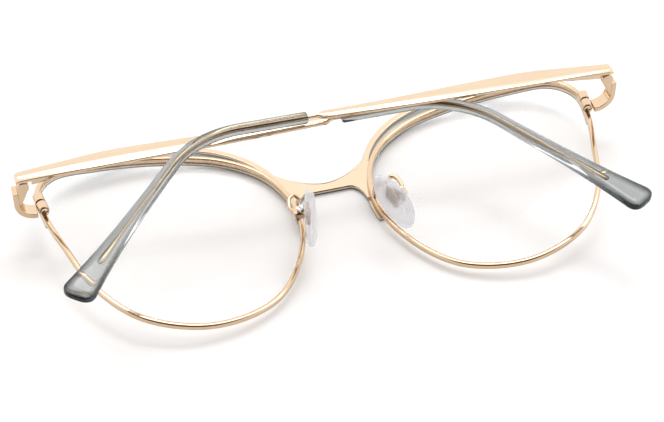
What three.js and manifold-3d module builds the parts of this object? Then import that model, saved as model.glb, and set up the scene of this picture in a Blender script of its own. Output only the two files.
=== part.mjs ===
// Cat-eye eyeglasses with a thin metal front, lying face down with both temples folded.
// Millimetres. +X across the face, +Y up the face to the brow, +Z from the front back to the ears.
// The part's origin is the middle of the resting plane, under the centre of its outline.
import * as THREE from "three";
import { mergeVertices } from "three/addons/utils/BufferGeometryUtils.js";
import { TessellateModifier } from "three/addons/modifiers/TessellateModifier.js";
import Module from "manifold-3d";

const wasm = await Module();
wasm.setup();

// Lenses and front
const LENS_WIDTH = 52;
const LENS_HEIGHT = 51;
const NOSE_GAP = 18.2; // between the two lens openings
const BRIDGE_FLAT = 6; // half the width of the flat part of the bridge
const FRONT_RADIUS = 320; // either side of it the front is bowed round the face
const LENS_THICKNESS = 1.6;
const LENS_BULGE = 1.68; // how far the lens middle stands in front of its edge
const SEAT = 0.12; // gap left between pieces that are soldered, pressed or sprung together

// Eyewires: a grooved wire, split at the rim lock
const RIM_WIDTH = 1.15;
const RIM_DEPTH = 1.3;
const GROOVE_DEPTH = 0.5;
const GROOVE_HALF = 0.42;
const RIM_CHAMFER = 0.2;

// Front plate: bridge, brow bars and the bands that back the eyewires
const PLATE_THICKNESS = 0.9;
const PLATE_FACET = 8; // longest facet of the bowed plate
const BRIDGE_TOP = 10.45; // heights above the middle of the lens
const BRIDGE_LOW = 7.95;
const BROW_BAR = 1.4;
const BROW_SLOT = 3.1; // widest opening between the brow bar and the eyewire
const PLATE_INSET = 0.1; // inner edge of the plate, outside the lens opening
const NASAL_LEG = 1.6;

// Angles round a lens, from the temple side, in degrees
const LOCK_AT = 27;
const TEMPLE_LEG_END = 19;
const BROW_END = 44; // the brow bar has run out on the eyewire here
const SLOT_TEMPLE_END = 57;
const SLOT_NOSE_END = 150;
const BRIDGE_JOIN = 147;
const NASAL_LEG_TOP = 174;
const PAD_ARM_AT = 176;
const NASAL_LEG_END = 188;

// Screws
const SCREW_GAP = 0.12; // between a shank and its bore
const HEAD_HEIGHT = 0.5;

// Rim locks: a barrel in two halves on the split ends of each eyewire
const LOCK_RADIUS = 1.15;
const LOCK_HALF = 2.3;
const LOCK_GAP = 0.35;
const LOCK_SCREW = 0.45;
const LOCK_HEAD = 0.85;

// End pieces and hinges
const STRAP_REACH = 5.4; // outer face of the strap beyond the middle of the eyewire
const STRAP_THICKNESS = 1.2;
const STRAP_BEND = 3; // inside radius of the bend from the front to the side
const HINGE_BACK = 8.7; // hinge axis behind the foot of the strap
const HINGE_HEIGHT = 3.1;
const KNUCKLE_RADIUS = 1.25;
const KNUCKLE_MIDDLE = 1.1; // height of the temple's knuckle
const KNUCKLE_GAP = 0.1;
const SWING_GAP = 0.12; // room between a knuckle and what swings past it
const LEAF_LENGTH = 5; // the hinge leaf runs out this far down the inside of the strap
const WEB_BACK = 0.4; // the temple's knuckle hangs on a web that spans these from the axis
const WEB_AHEAD = 0.9;
const HINGE_SCREW = 0.58;
const HINGE_HEAD = 0.95;

// Temples
const TEMPLE_LENGTH = 141.5;
const BUTT = 1.3; // the end of the temple reaches this far past the hinge axis
const MITRE = 0.6;
const BAR_LENGTH = 66;
const NECK_LENGTH = 2.5;
const SLEEVE_STRAIGHT = 14.5; // from the end of the sleeve to the bend behind the ear
const BEND_RADIUS = 21;
const RIGHT_BEND = 50.6; // degrees; each tip is bent to suit its ear
const LEFT_BEND = 57.5;
const TIP_SOLID = 9.5; // solid end of the sleeve past its core
const CORE_FLAT = 10; // the core is flattened over this length at its end
const CORE_POINT = 1;
const CORE_WIDTH = 1.25;
const CORE_TIP_WIDTH = 1.4;
const CORE_TIP_THICKNESS = 0.75;
const BAR_THICKNESS = 0.95;
const BAR_LEAF_HEIGHT = 4.6; // widest part of the leaf-shaped bar
const BAR_LEAF_AT = 18;
const WEDGE_START = 1.9; // the bar is thickened inwards from here towards its middle
const WEDGE_LENGTH = 11;
const WEDGE_DEPTH = 0.95;
const BAR_NECK_HEIGHT = 2.4;
const BOW_RADIUS = 3300; // the temples curve in a little towards the head
const SLEEVE_WIDTH = 2.6;
const SLEEVE_THICKNESS = 2.4;
const TIP_WIDTH = 7.3;
const TIP_THICKNESS = 2;
const BORE_GAP = 0.15;
const LEFT_LIFT = 0.4; // degrees that each folded temple stands up from the front
const RIGHT_LIFT = 2.6; // the right temple lies on top of the left one
const LEFT_PLAY = 0.5; // degrees of slack in each hinge, up the face
const RIGHT_PLAY = -0.5;

// Nose pads
const PAD_OUT = 0.5; // middle of the pad's back beyond the edge of the nose gap
const PAD_BELOW = 9.6;
const PAD_BACK = 11.3;
const PAD_SLANT = 15; // degrees, seen from the front
const PAD_SPLAY = 8; // degrees, seen from above
const PAD_LENGTH = 14.8;
const PAD_WIDTH = 8;
const PAD_THICKNESS = 1.9;
const INSERT_UP = 1.1; // the insert and its box sit above the middle of the pad
const INSERT_LENGTH = 4.4;
const INSERT_WIDTH = 2.6;
const INSERT_THICKNESS = 0.6;
const POST_WIDTH = 1;
const POST_HEIGHT = 1.6;
const BOX_WALL = 0.6;
const BOX_HEIGHT = 2.5;
const BOX_BACK = 0.5;
const BOX_ROUND = 0.7; // corners at the back of the box
const BOX_GAP = 0.35; // between the pad's back and the box, room to rock
const PAD_SCREW_BACK = 1.2; // screw axis behind the pad's back
const PAD_SCREW = 0.42;
const PAD_SCREW_HEAD = 0.75;
const ARM_RADIUS = 0.45;
const ARM_LOOP = 1.05; // radius of the hook at the top of the arm
const ARM_LOOP_UP = 4.7; // middle of the hook above the pad screw

const RAD = Math.PI / 180;
const RING_STEPS = 60;
const ROUND = 18;

const champagneGold = new THREE.MeshStandardMaterial({ color: 0xe6c9a0, roughness: 0.22, metalness: 1 });
const satinGold = new THREE.MeshStandardMaterial({ color: 0xead2b0, roughness: 0.38, metalness: 1 });
const clearLens = new THREE.MeshStandardMaterial({
  color: 0xffffff, roughness: 0.02, metalness: 0, transparent: true, opacity: 0.12,
});
const greySleeve = new THREE.MeshStandardMaterial({
  color: 0x8d999c, roughness: 0.12, metalness: 0, transparent: true, opacity: 0.7,
});
const clearSilicone = new THREE.MeshStandardMaterial({
  color: 0xe9e6ee, roughness: 0.3, metalness: 0, transparent: true, opacity: 0.5,
});

// Turns a closed mesh the right way out and keeps only its welded positions.
function welded(geometry) {
  const bare = new THREE.BufferGeometry();
  bare.setAttribute("position", geometry.getAttribute("position").clone());
  if (geometry.index) {
    bare.setIndex(geometry.index.clone());
  }
  const merged = mergeVertices(bare, 1e-4);
  const p = merged.getAttribute("position");
  const index = merged.index.array;
  const [a, b, c] = [new THREE.Vector3(), new THREE.Vector3(), new THREE.Vector3()];
  const kept = [];
  let volume = 0;
  for (let i = 0; i < index.length; i += 3) {
    if (index[i] === index[i + 1] || index[i + 1] === index[i + 2] || index[i] === index[i + 2]) {
      continue;
    }
    kept.push([index[i], index[i + 1], index[i + 2]]);
    a.fromBufferAttribute(p, index[i]);
    b.fromBufferAttribute(p, index[i + 1]);
    c.fromBufferAttribute(p, index[i + 2]);
    volume += a.dot(b.cross(c));
  }
  merged.setIndex(kept.flatMap(([i, j, k]) => (volume < 0 ? [i, k, j] : [i, j, k])));
  return merged;
}

function solid(geometry) {
  const mesh = welded(geometry);
  return new wasm.Manifold(new wasm.Mesh({
    numProp: 3,
    vertProperties: new Float32Array(mesh.getAttribute("position").array),
    triVerts: new Uint32Array(mesh.index.array),
  }));
}

function fromSolid(manifold) {
  const mesh = manifold.getMesh();
  const geometry = new THREE.BufferGeometry();
  geometry.setAttribute("position", new THREE.BufferAttribute(mesh.vertProperties, 3));
  geometry.setIndex(new THREE.BufferAttribute(mesh.triVerts, 1));
  return geometry;
}

// The other side of the face: the same piece reflected in the middle plane.
function mirrored(geometry) {
  const copy = welded(geometry);
  copy.scale(-1, 1, 1);
  return welded(copy);
}

// Skins a row of rings that all have the same number of points, and closes both ends.
function loft(rings, section) {
  const count = rings[0].length;
  const positions = rings.flat().flatMap((v) => [v.x, v.y, v.z]);
  const faces = [];
  for (let i = 0; i < rings.length - 1; i += 1) {
    for (let j = 0; j < count; j += 1) {
      const a = i * count + j;
      const b = i * count + ((j + 1) % count);
      faces.push(a, b, b + count, a, b + count, a + count);
    }
  }
  const cap = THREE.ShapeUtils.triangulateShape(section, []);
  const last = (rings.length - 1) * count;
  for (const [a, b, c] of cap) {
    faces.push(a, c, b, last + a, last + b, last + c);
  }
  const geometry = new THREE.BufferGeometry();
  geometry.setAttribute("position", new THREE.Float32BufferAttribute(positions, 3));
  geometry.setIndex(faces);
  return welded(geometry);
}

// A rounded section: an ellipse at power 2, squarer as the power grows.
function roundSection(power, count) {
  return Array.from({ length: count }, (_, i) => {
    const turn = (2 * Math.PI * i) / count;
    const bend = (v) => Math.sign(v) * Math.abs(v) ** (2 / power);
    return new THREE.Vector2(bend(Math.cos(turn)), bend(Math.sin(turn)));
  });
}

function pin(radius, length) {
  return new THREE.CylinderGeometry(radius, radius, length, ROUND);
}

// A screw along Y: its shank spans the given heights, with a clear seat under its head.
function screw(shank, head, from, to) {
  const headEnd = to + SEAT + HEAD_HEIGHT;
  const stem = pin(shank, headEnd - from).translate(0, (headEnd + from) / 2, 0);
  const cap = pin(head, HEAD_HEIGHT).translate(0, headEnd - HEAD_HEIGHT / 2, 0);
  return fromSolid(solid(stem).add(solid(cap)));
}

// Extrudes a shape drawn in X and Z upwards along Y.
function extrudedUp(shape, low, height) {
  const options = { depth: height, bevelEnabled: false, curveSegments: 10 };
  const geometry = new THREE.ExtrudeGeometry(shape, options);
  const p = geometry.getAttribute("position");
  for (let i = 0; i < p.count; i += 1) {
    p.setXYZ(i, p.getX(i), low + p.getZ(i), p.getY(i));
  }
  return welded(geometry);
}

// The lens opening, as shares of its width and height: swept up at the temple, round below.
const openingShape = new THREE.CatmullRomCurve3([
  [0.437, 0.012], [0.485, 0.2], [0.494, 0.36], [0.421, 0.462], [0.25, 0.497], [0, 0.496], [-0.26, 0.432],
  [-0.428, 0.289], [-0.4995, 0.055], [-0.45, -0.2], [-0.286, -0.427], [-0.03, -0.5], [0.215, -0.416],
  [0.359, -0.231],
].map(([u, v]) => new THREE.Vector3(u * LENS_WIDTH, v * LENS_HEIGHT, 0)), true);
const LENS_X = NOSE_GAP / 2 + LENS_WIDTH / 2;
const openingTurns = openingShape.getSpacedPoints(720).map((v) => {
  return { angle: Math.atan2(v.y, v.x) / RAD, reach: Math.hypot(v.x, v.y) };
}).slice(0, -1).sort((a, b) => a.angle - b.angle);

// The point of the opening at an angle round the lens, between the two nearest points of its curve.
function openingPoint(angle) {
  const wanted = ((((angle + 180) % 360) + 360) % 360) - 180;
  const found = openingTurns.findIndex((turn) => turn.angle > wanted);
  const after = openingTurns[Math.max(found, 0)];
  const before = openingTurns.at(Math.max(found, 0) - 1);
  const gap = (after.angle - before.angle + 360) % 360;
  const share = ((wanted - before.angle + 360) % 360) / gap;
  const reach = THREE.MathUtils.lerp(before.reach, after.reach, share);
  return new THREE.Vector2(reach * Math.cos(angle * RAD), reach * Math.sin(angle * RAD));
}

function openingNormal(angle) {
  const along = openingPoint(angle + 3).sub(openingPoint(angle - 3)).normalize();
  return new THREE.Vector2(along.y, -along.x);
}

// The opening's edge moved out square to itself.
function edge(angle, out) {
  const point = openingPoint(angle).addScaledVector(openingNormal(angle), out);
  return point.add(new THREE.Vector2(LENS_X, 0));
}

function frontSlope(x) {
  return (Math.sign(x) * Math.max(Math.abs(x) - BRIDGE_FLAT, 0)) / FRONT_RADIUS;
}

function frontZ(x) {
  return (frontSlope(x) ** 2 * FRONT_RADIUS) / 2;
}

function onFront(point, depth) {
  return new THREE.Vector3(point.x, point.y, frontZ(point.x) + depth);
}

const RIM_FRONT = PLATE_THICKNESS + SEAT;
const RIM_BACK = RIM_FRONT + RIM_DEPTH;
const RIM_MIDDLE = RIM_FRONT + RIM_DEPTH / 2;

// Eyewire: the grooved section carried round the opening, open at the rim lock.
function rimWire() {
  const section = [
    [0, 0], [RIM_WIDTH - RIM_CHAMFER, 0], [RIM_WIDTH, RIM_CHAMFER], [RIM_WIDTH, RIM_DEPTH - RIM_CHAMFER],
    [RIM_WIDTH - RIM_CHAMFER, RIM_DEPTH], [0, RIM_DEPTH], [0, RIM_DEPTH / 2 + GROOVE_HALF],
    [GROOVE_DEPTH, RIM_DEPTH / 2], [0, RIM_DEPTH / 2 - GROOVE_HALF],
  ].map(([out, depth]) => new THREE.Vector2(out, depth));
  const halfSplit = LOCK_GAP / 2 / openingPoint(LOCK_AT).length() / RAD;
  const rings = [];
  for (let i = 0; i <= RING_STEPS; i += 1) {
    const angle = LOCK_AT + halfSplit + ((360 - 2 * halfSplit) * i) / RING_STEPS;
    rings.push(section.map((v) => onFront(edge(angle, v.x), RIM_FRONT + v.y)));
  }
  return loft(rings, section);
}

// Lens: two domed faces with a bevel that sits in the eyewire's groove.
function lens() {
  const angles = Array.from({ length: RING_STEPS }, (_, i) => LOCK_AT + (360 * i) / RING_STEPS);
  const ring = (share, out, depth) => angles.map((angle) => {
    const point = openingPoint(angle).addScaledVector(openingNormal(angle), out).multiplyScalar(share);
    point.x += LENS_X;
    return onFront(point, RIM_MIDDLE + depth - LENS_BULGE * (1 - share * share));
  });
  const half = LENS_THICKNESS / 2;
  const bevelHalf = GROOVE_HALF - SEAT;
  const rings = [
    ring(0.03, -SEAT, -half), ring(0.45, -SEAT, -half), ring(0.8, -SEAT, -half), ring(1, -SEAT, -half),
    ring(1, -SEAT, -bevelHalf), ring(1, GROOVE_DEPTH - 2 * SEAT, 0), ring(1, -SEAT, bevelHalf),
    ring(1, -SEAT, half), ring(0.8, -SEAT, half), ring(0.45, -SEAT, half), ring(0.03, -SEAT, half),
  ];
  return loft(rings, roundSection(2, RING_STEPS));
}

// Front plate: one flat stamping, symmetrical about the nose, bowed with the front.
const PLATE_EDGE = RIM_WIDTH + BROW_BAR;

function slotAt(angle) {
  const share = (SLOT_NOSE_END - angle) / (SLOT_NOSE_END - SLOT_TEMPLE_END);
  return share <= 0 || share >= 1 ? 0 : BROW_SLOT * Math.sin(Math.PI * share);
}

function plateOutline() {
  const step = 5;
  const points = [];
  const top = new THREE.Vector2(0, BRIDGE_TOP);
  const join = edge(BRIDGE_JOIN, PLATE_EDGE);
  const saddle = new THREE.Vector2(join.x * 0.47, BRIDGE_TOP + 0.25);
  const bridgeTop = new THREE.QuadraticBezierCurve(top, saddle, join);
  points.push(...bridgeTop.getPoints(8));
  for (let angle = BRIDGE_JOIN - step; angle > TEMPLE_LEG_END + 1; angle -= step) {
    const share = THREE.MathUtils.clamp((angle - BROW_END) / (SLOT_TEMPLE_END - BROW_END), 0, 1);
    points.push(edge(angle, RIM_WIDTH + BROW_BAR * share + slotAt(angle)));
  }
  points.push(edge(TEMPLE_LEG_END, RIM_WIDTH * 0.8));
  points.push(edge(TEMPLE_LEG_END, PLATE_INSET + RIM_WIDTH * 0.2));
  for (let angle = TEMPLE_LEG_END + 1; angle < NASAL_LEG_END; angle += step) {
    points.push(edge(angle, PLATE_INSET));
  }
  points.push(edge(NASAL_LEG_END, NASAL_LEG * 0.4));
  points.push(edge(NASAL_LEG_END, NASAL_LEG * 0.8));
  points.push(edge(NASAL_LEG_END - 2, NASAL_LEG));
  points.push(edge(NASAL_LEG_END - 9, NASAL_LEG));
  const legTop = edge(NASAL_LEG_TOP, NASAL_LEG);
  const corner = new THREE.QuadraticBezierCurve(
    legTop, new THREE.Vector2(legTop.x - 0.6, BRIDGE_LOW), new THREE.Vector2(legTop.x * 0.6, BRIDGE_LOW),
  );
  points.push(...corner.getPoints(5));
  points.push(new THREE.Vector2(0, BRIDGE_LOW));
  const left = points.slice(1, -1).reverse().map((v) => new THREE.Vector2(-v.x, v.y));
  return [...points, ...left];
}

// The crescent between the brow bar and the part of the plate that backs the eyewire.
function plateSlot(sign) {
  const count = 18;
  const angles = Array.from({ length: count + 1 }, (_, i) => {
    return SLOT_TEMPLE_END + ((SLOT_NOSE_END - SLOT_TEMPLE_END) * i) / count;
  });
  const low = angles.map((angle) => edge(angle, RIM_WIDTH));
  const high = angles.slice(1, -1).map((angle) => edge(angle, RIM_WIDTH + slotAt(angle))).reverse();
  return new THREE.Path([...low, ...high].map((v) => new THREE.Vector2(sign * v.x, v.y)));
}

function frontPlate() {
  const stamping = new THREE.Shape(plateOutline().reverse());
  stamping.holes.push(plateSlot(1), plateSlot(-1));
  const flat = new THREE.ExtrudeGeometry(stamping, { depth: PLATE_THICKNESS, bevelEnabled: false });
  const geometry = new TessellateModifier(PLATE_FACET, 8).modify(flat);
  const p = geometry.getAttribute("position");
  for (let i = 0; i < p.count; i += 1) {
    p.setZ(i, p.getZ(i) + frontZ(p.getX(i)));
  }
  return welded(geometry);
}

// Rim lock: the barrel lies along the eyewire, on its back, cut flat where it is soldered.
const lockSeat = onFront(edge(LOCK_AT, RIM_WIDTH / 2), RIM_BACK + SEAT);
const lockNormal = openingNormal(LOCK_AT);
const lockBack = new THREE.Vector3(-frontSlope(lockSeat.x), 0, 1).normalize();
const lockUp = new THREE.Vector3(-lockNormal.y, lockNormal.x, 0);
lockUp.addScaledVector(lockBack, -lockUp.dot(lockBack)).normalize();
const lockFrame = new THREE.Matrix4().makeBasis(
  new THREE.Vector3().crossVectors(lockUp, lockBack), lockUp, lockBack,
).setPosition(lockSeat);
const LOCK_SINK = 0.75; // barrel axis behind the solder flat, as a share of its radius

function rimLockHalf(sign) {
  const middle = sign * (LOCK_GAP / 2 + LOCK_HALF / 2);
  const barrel = pin(LOCK_RADIUS, LOCK_HALF).translate(0, middle, LOCK_RADIUS * LOCK_SINK);
  const bore = pin(LOCK_SCREW + SCREW_GAP, LOCK_HALF + 1).translate(0, middle, LOCK_RADIUS * LOCK_SINK);
  const under = new THREE.BoxGeometry(4 * LOCK_RADIUS, 4 * LOCK_HALF, 2 * LOCK_RADIUS);
  under.translate(0, middle, -LOCK_RADIUS);
  return fromSolid(solid(barrel).subtract(solid(bore)).subtract(solid(under))).applyMatrix4(lockFrame);
}

function rimLockScrew() {
  const reach = LOCK_GAP / 2 + LOCK_HALF;
  const turned = screw(LOCK_SCREW, LOCK_HEAD, -reach, reach).rotateZ(Math.PI);
  return turned.translate(0, 0, LOCK_RADIUS * LOCK_SINK).applyMatrix4(lockFrame);
}

// End piece: a strap soldered to the rim lock's lower half and bent back along the side of the head,
// with a hinge leaf inside it that carries the two outer knuckles.
const STRAP_OUT = STRAP_BEND + STRAP_THICKNESS;
const BLADE_INSIDE = KNUCKLE_RADIUS + SWING_GAP; // the temple's inner face, from the hinge axis
const STRAP_X = lockSeat.x + STRAP_REACH;
const HINGE_X = STRAP_X - BLADE_INSIDE - BAR_THICKNESS;
const HINGE_Y = lockSeat.y - LOCK_GAP / 2 - HINGE_HEIGHT / 2;
const HINGE_Z = lockSeat.z + HINGE_BACK;

function endPiece() {
  const low = HINGE_Y - HINGE_HEIGHT / 2;
  const top = HINGE_Z - BUTT - SWING_GAP;
  const strap = new THREE.Shape();
  strap.moveTo(lockSeat.x + LOCK_RADIUS / 2, lockSeat.z);
  strap.absarc(STRAP_X - STRAP_OUT, lockSeat.z + STRAP_OUT, STRAP_OUT, -Math.PI / 2, 0, false);
  strap.lineTo(STRAP_X, top);
  strap.lineTo(STRAP_X - STRAP_THICKNESS, top);
  strap.absarc(STRAP_X - STRAP_OUT, lockSeat.z + STRAP_OUT, STRAP_BEND, 0, -Math.PI / 2, true);
  strap.lineTo(lockSeat.x + LOCK_RADIUS / 2, lockSeat.z + STRAP_THICKNESS);
  const barrel = pin(LOCK_RADIUS + SEAT, 4 * HINGE_HEIGHT).translate(0, 0, LOCK_RADIUS * LOCK_SINK);
  const wall = STRAP_X - STRAP_THICKNESS + SEAT;
  const leaf = new THREE.Shape();
  leaf.moveTo(wall, HINGE_Z);
  leaf.lineTo(HINGE_X - KNUCKLE_RADIUS + SEAT, HINGE_Z);
  leaf.quadraticCurveTo(HINGE_X - SEAT, HINGE_Z - LEAF_LENGTH * 0.6, wall, HINGE_Z - LEAF_LENGTH);
  const knuckles = pin(KNUCKLE_RADIUS, HINGE_HEIGHT).translate(HINGE_X, HINGE_Y, HINGE_Z);
  const bore = pin(HINGE_SCREW + SCREW_GAP, HINGE_HEIGHT + 1).translate(HINGE_X, HINGE_Y, HINGE_Z);
  const mouth = pin(BLADE_INSIDE, KNUCKLE_MIDDLE + 2 * KNUCKLE_GAP).translate(HINGE_X, HINGE_Y, HINGE_Z);
  const body = solid(extrudedUp(strap, low, HINGE_HEIGHT)).subtract(solid(barrel.applyMatrix4(lockFrame)));
  const gusset = solid(extrudedUp(leaf, low, HINGE_HEIGHT));
  return fromSolid(body.add(gusset).add(solid(knuckles)).subtract(solid(bore)).subtract(solid(mouth)));
}

function hingeScrew() {
  const half = HINGE_HEIGHT / 2;
  return screw(HINGE_SCREW, HINGE_HEAD, -half, half).translate(HINGE_X, HINGE_Y, HINGE_Z);
}

// Temple centre line, from the hinge axis: straight, then bent down behind the ear, bowed inwards.
const SLEEVE_START = BAR_LENGTH + NECK_LENGTH;
const BEND_AT = SLEEVE_START + SLEEVE_STRAIGHT;
const CORE_END = TEMPLE_LENGTH - TIP_SOLID;

function templePlace(along, bend) {
  const arc = BEND_RADIUS * bend * RAD;
  const turn = Math.min(Math.max(along - BEND_AT, 0), arc) / BEND_RADIUS;
  const rest = Math.max(along - BEND_AT - arc, 0);
  const run = Math.min(along, BEND_AT) + BEND_RADIUS * Math.sin(turn) + rest * Math.cos(turn);
  const drop = BEND_RADIUS * (1 - Math.cos(turn)) + rest * Math.sin(turn);
  const inward = (along * along) / (2 * BOW_RADIUS);
  const middle = BLADE_INSIDE + BAR_THICKNESS / 2 - inward;
  const across = new THREE.Vector3(-Math.sin(turn), Math.cos(turn), 0);
  return { centre: new THREE.Vector3(-run, -drop, middle), across };
}

function templeRing(station, count, bend) {
  const { centre, across } = templePlace(station.along, bend);
  return roundSection(station.power ?? 2, count).map((v) => {
    const point = centre.clone().addScaledVector(across, (v.x * station.width) / 2 + (station.rise ?? 0));
    point.z += (v.y * station.thickness) / 2 + (station.sink ?? 0);
    return point;
  });
}

// Stops along the bend behind the ear.
function bendStops(bend) {
  const arc = BEND_RADIUS * bend * RAD;
  return [0, 0.2, 0.4, 0.6, 0.8, 1].map((share) => BEND_AT + arc * share);
}

// Temple bar: a leaf-shaped spring bar that narrows to a neck and runs on as the core of the sleeve.
function templeBar(bend) {
  const leafRise = (BAR_LEAF_HEIGHT - HINGE_HEIGHT) / 2;
  const bar = [
    { along: -BUTT, width: HINGE_HEIGHT * 0.9, thickness: BAR_THICKNESS * 0.4, power: 6,
      sink: -BAR_THICKNESS * 0.3 },
    { along: MITRE - BUTT, width: HINGE_HEIGHT, thickness: BAR_THICKNESS, power: 6 },
    { along: BAR_LEAF_AT * 0.5, width: (HINGE_HEIGHT + BAR_LEAF_HEIGHT) / 2, thickness: BAR_THICKNESS,
      power: 5, rise: leafRise * 0.6 },
    { along: BAR_LEAF_AT, width: BAR_LEAF_HEIGHT, thickness: BAR_THICKNESS, power: 4, rise: leafRise },
    { along: BAR_LEAF_AT * 0.6 + BAR_LENGTH * 0.4, width: (2 * BAR_LEAF_HEIGHT + BAR_NECK_HEIGHT) / 3,
      thickness: BAR_THICKNESS, power: 4, rise: leafRise * 0.4 },
    { along: BAR_LEAF_AT * 0.3 + BAR_LENGTH * 0.7, width: (BAR_LEAF_HEIGHT + 3 * BAR_NECK_HEIGHT) / 4,
      thickness: BAR_THICKNESS, power: 4 },
    { along: BAR_LENGTH - NECK_LENGTH * 0.8, width: BAR_NECK_HEIGHT, thickness: BAR_THICKNESS, power: 4 },
    { along: BAR_LENGTH, width: BAR_NECK_HEIGHT * 0.85, thickness: BAR_THICKNESS, power: 3 },
  ];
  const core = [(BAR_LENGTH + SLEEVE_START) / 2, SLEEVE_START, ...bendStops(bend)].map((along) => {
    return { along, width: CORE_WIDTH, thickness: CORE_WIDTH };
  });
  const tip = [
    { along: CORE_END - CORE_FLAT, width: CORE_WIDTH, thickness: CORE_WIDTH },
    { along: CORE_END - CORE_FLAT * 0.3, width: CORE_TIP_WIDTH, thickness: CORE_TIP_THICKNESS },
    { along: CORE_END - CORE_POINT, width: CORE_TIP_WIDTH, thickness: CORE_TIP_THICKNESS },
    { along: CORE_END, width: CORE_TIP_WIDTH * 0.4, thickness: CORE_TIP_THICKNESS * 0.6 },
  ];
  const count = 12;
  const rings = [...bar, ...core, ...tip].map((stop) => templeRing(stop, count, bend));
  const blade = solid(loft(rings, roundSection(2, count)));
  const wedgeStop = (share) => {
    const depth = BAR_THICKNESS / 2 + WEDGE_DEPTH * (1 - share) - 2 * SEAT * share;
    const along = WEDGE_START + WEDGE_LENGTH * share;
    const leaf = along / BAR_LEAF_AT;
    const width = HINGE_HEIGHT + (BAR_LEAF_HEIGHT - HINGE_HEIGHT) * leaf - 2 * SEAT;
    return { along, width, thickness: depth, sink: -depth / 2, rise: leafRise * leaf, power: 6 };
  };
  const wedgeRings = [0, 0.5, 1].map((share) => templeRing(wedgeStop(share), count, bend));
  const wedge = solid(loft(wedgeRings, roundSection(2, count)));
  const knuckle = solid(pin(KNUCKLE_RADIUS, KNUCKLE_MIDDLE));
  const webTop = BLADE_INSIDE + BAR_THICKNESS / 2;
  const web = new THREE.BoxGeometry(WEB_BACK + WEB_AHEAD, KNUCKLE_MIDDLE, webTop);
  web.translate((WEB_BACK - WEB_AHEAD) / 2, 0, webTop / 2);
  const bore = pin(HINGE_SCREW + SCREW_GAP, 2 * KNUCKLE_MIDDLE);
  return fromSolid(blade.add(wedge).add(solid(web)).add(knuckle).subtract(solid(bore)));
}

// Temple tip: a moulded sleeve over the core wire, widening to a rounded paddle.
function templeTip(bend) {
  const nose = TIP_WIDTH * 0.4;
  const paddle = TEMPLE_LENGTH - nose;
  const span = TEMPLE_LENGTH - BEND_AT;
  const outside = (along) => {
    const share = Math.max(along - BEND_AT, 0) / span;
    const swell = share ** 4;
    const past = Math.max(along - paddle, 0) / nose;
    const end = Math.max(1 - past ** 2.6, 0) ** (1 / 2.6);
    return {
      along,
      width: (SLEEVE_WIDTH + (TIP_WIDTH - SLEEVE_WIDTH) * swell) * end,
      thickness: (SLEEVE_THICKNESS + (TIP_THICKNESS - SLEEVE_THICKNESS) * swell) * (0.3 + 0.7 * end),
      power: 2.5,
    };
  };
  const inside = (along, width, thickness) => {
    return { along, width: width + 2 * BORE_GAP, thickness: thickness + 2 * BORE_GAP };
  };
  const straight = [0, 0.2, 0.4, 0.6, 0.8].map((share) => paddle + (CORE_END - 1.6 * CORE_FLAT - paddle) * share);
  const rounding = [0.98, 0.85, 0.6, 0.3].map((share) => paddle + nose * share);
  const outer = [...rounding, ...straight, ...bendStops(bend).reverse(), SLEEVE_START].map(outside);
  const bore = [SLEEVE_START, ...bendStops(bend)].map((along) => inside(along, CORE_WIDTH, CORE_WIDTH));
  const boreEnd = [
    inside(CORE_END - CORE_FLAT, CORE_WIDTH, CORE_WIDTH),
    inside(CORE_END - CORE_FLAT * 0.3, CORE_TIP_WIDTH, CORE_TIP_THICKNESS + 2 * BORE_GAP),
    inside(CORE_END + BORE_GAP, CORE_TIP_WIDTH, CORE_TIP_THICKNESS + 2 * BORE_GAP),
  ];
  const count = 14;
  const rings = [...outer, ...bore, ...boreEnd].map((stop) => templeRing(stop, count, bend));
  return loft(rings, roundSection(2, count));
}

// Nose pad frame: X along the screw, Y up the pad, Z towards the nose, from the middle of the pad's back.
const padFacing = new THREE.Vector3(
  -Math.cos(PAD_SPLAY * RAD) * Math.cos(PAD_SLANT * RAD),
  -Math.cos(PAD_SPLAY * RAD) * Math.sin(PAD_SLANT * RAD),
  Math.sin(PAD_SPLAY * RAD),
);
const padUp = new THREE.Vector3(-Math.sin(PAD_SLANT * RAD), Math.cos(PAD_SLANT * RAD), 0);
const padFrame = new THREE.Matrix4().makeBasis(
  new THREE.Vector3().crossVectors(padUp, padFacing), padUp, padFacing,
).setPosition(NOSE_GAP / 2 + PAD_OUT, -PAD_BELOW, PAD_BACK);

const seatFrame = padFrame.clone().multiply(new THREE.Matrix4().makeTranslation(0, INSERT_UP, 0));
const BOX_WIDTH = POST_WIDTH + 4 * SEAT + 2 * BOX_WALL;
const POST_END = PAD_SCREW_BACK + POST_HEIGHT / 2;
const BOX_FLOOR = POST_END + 2 * SEAT;
const BOX_END = BOX_FLOOR + BOX_BACK;

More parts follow.
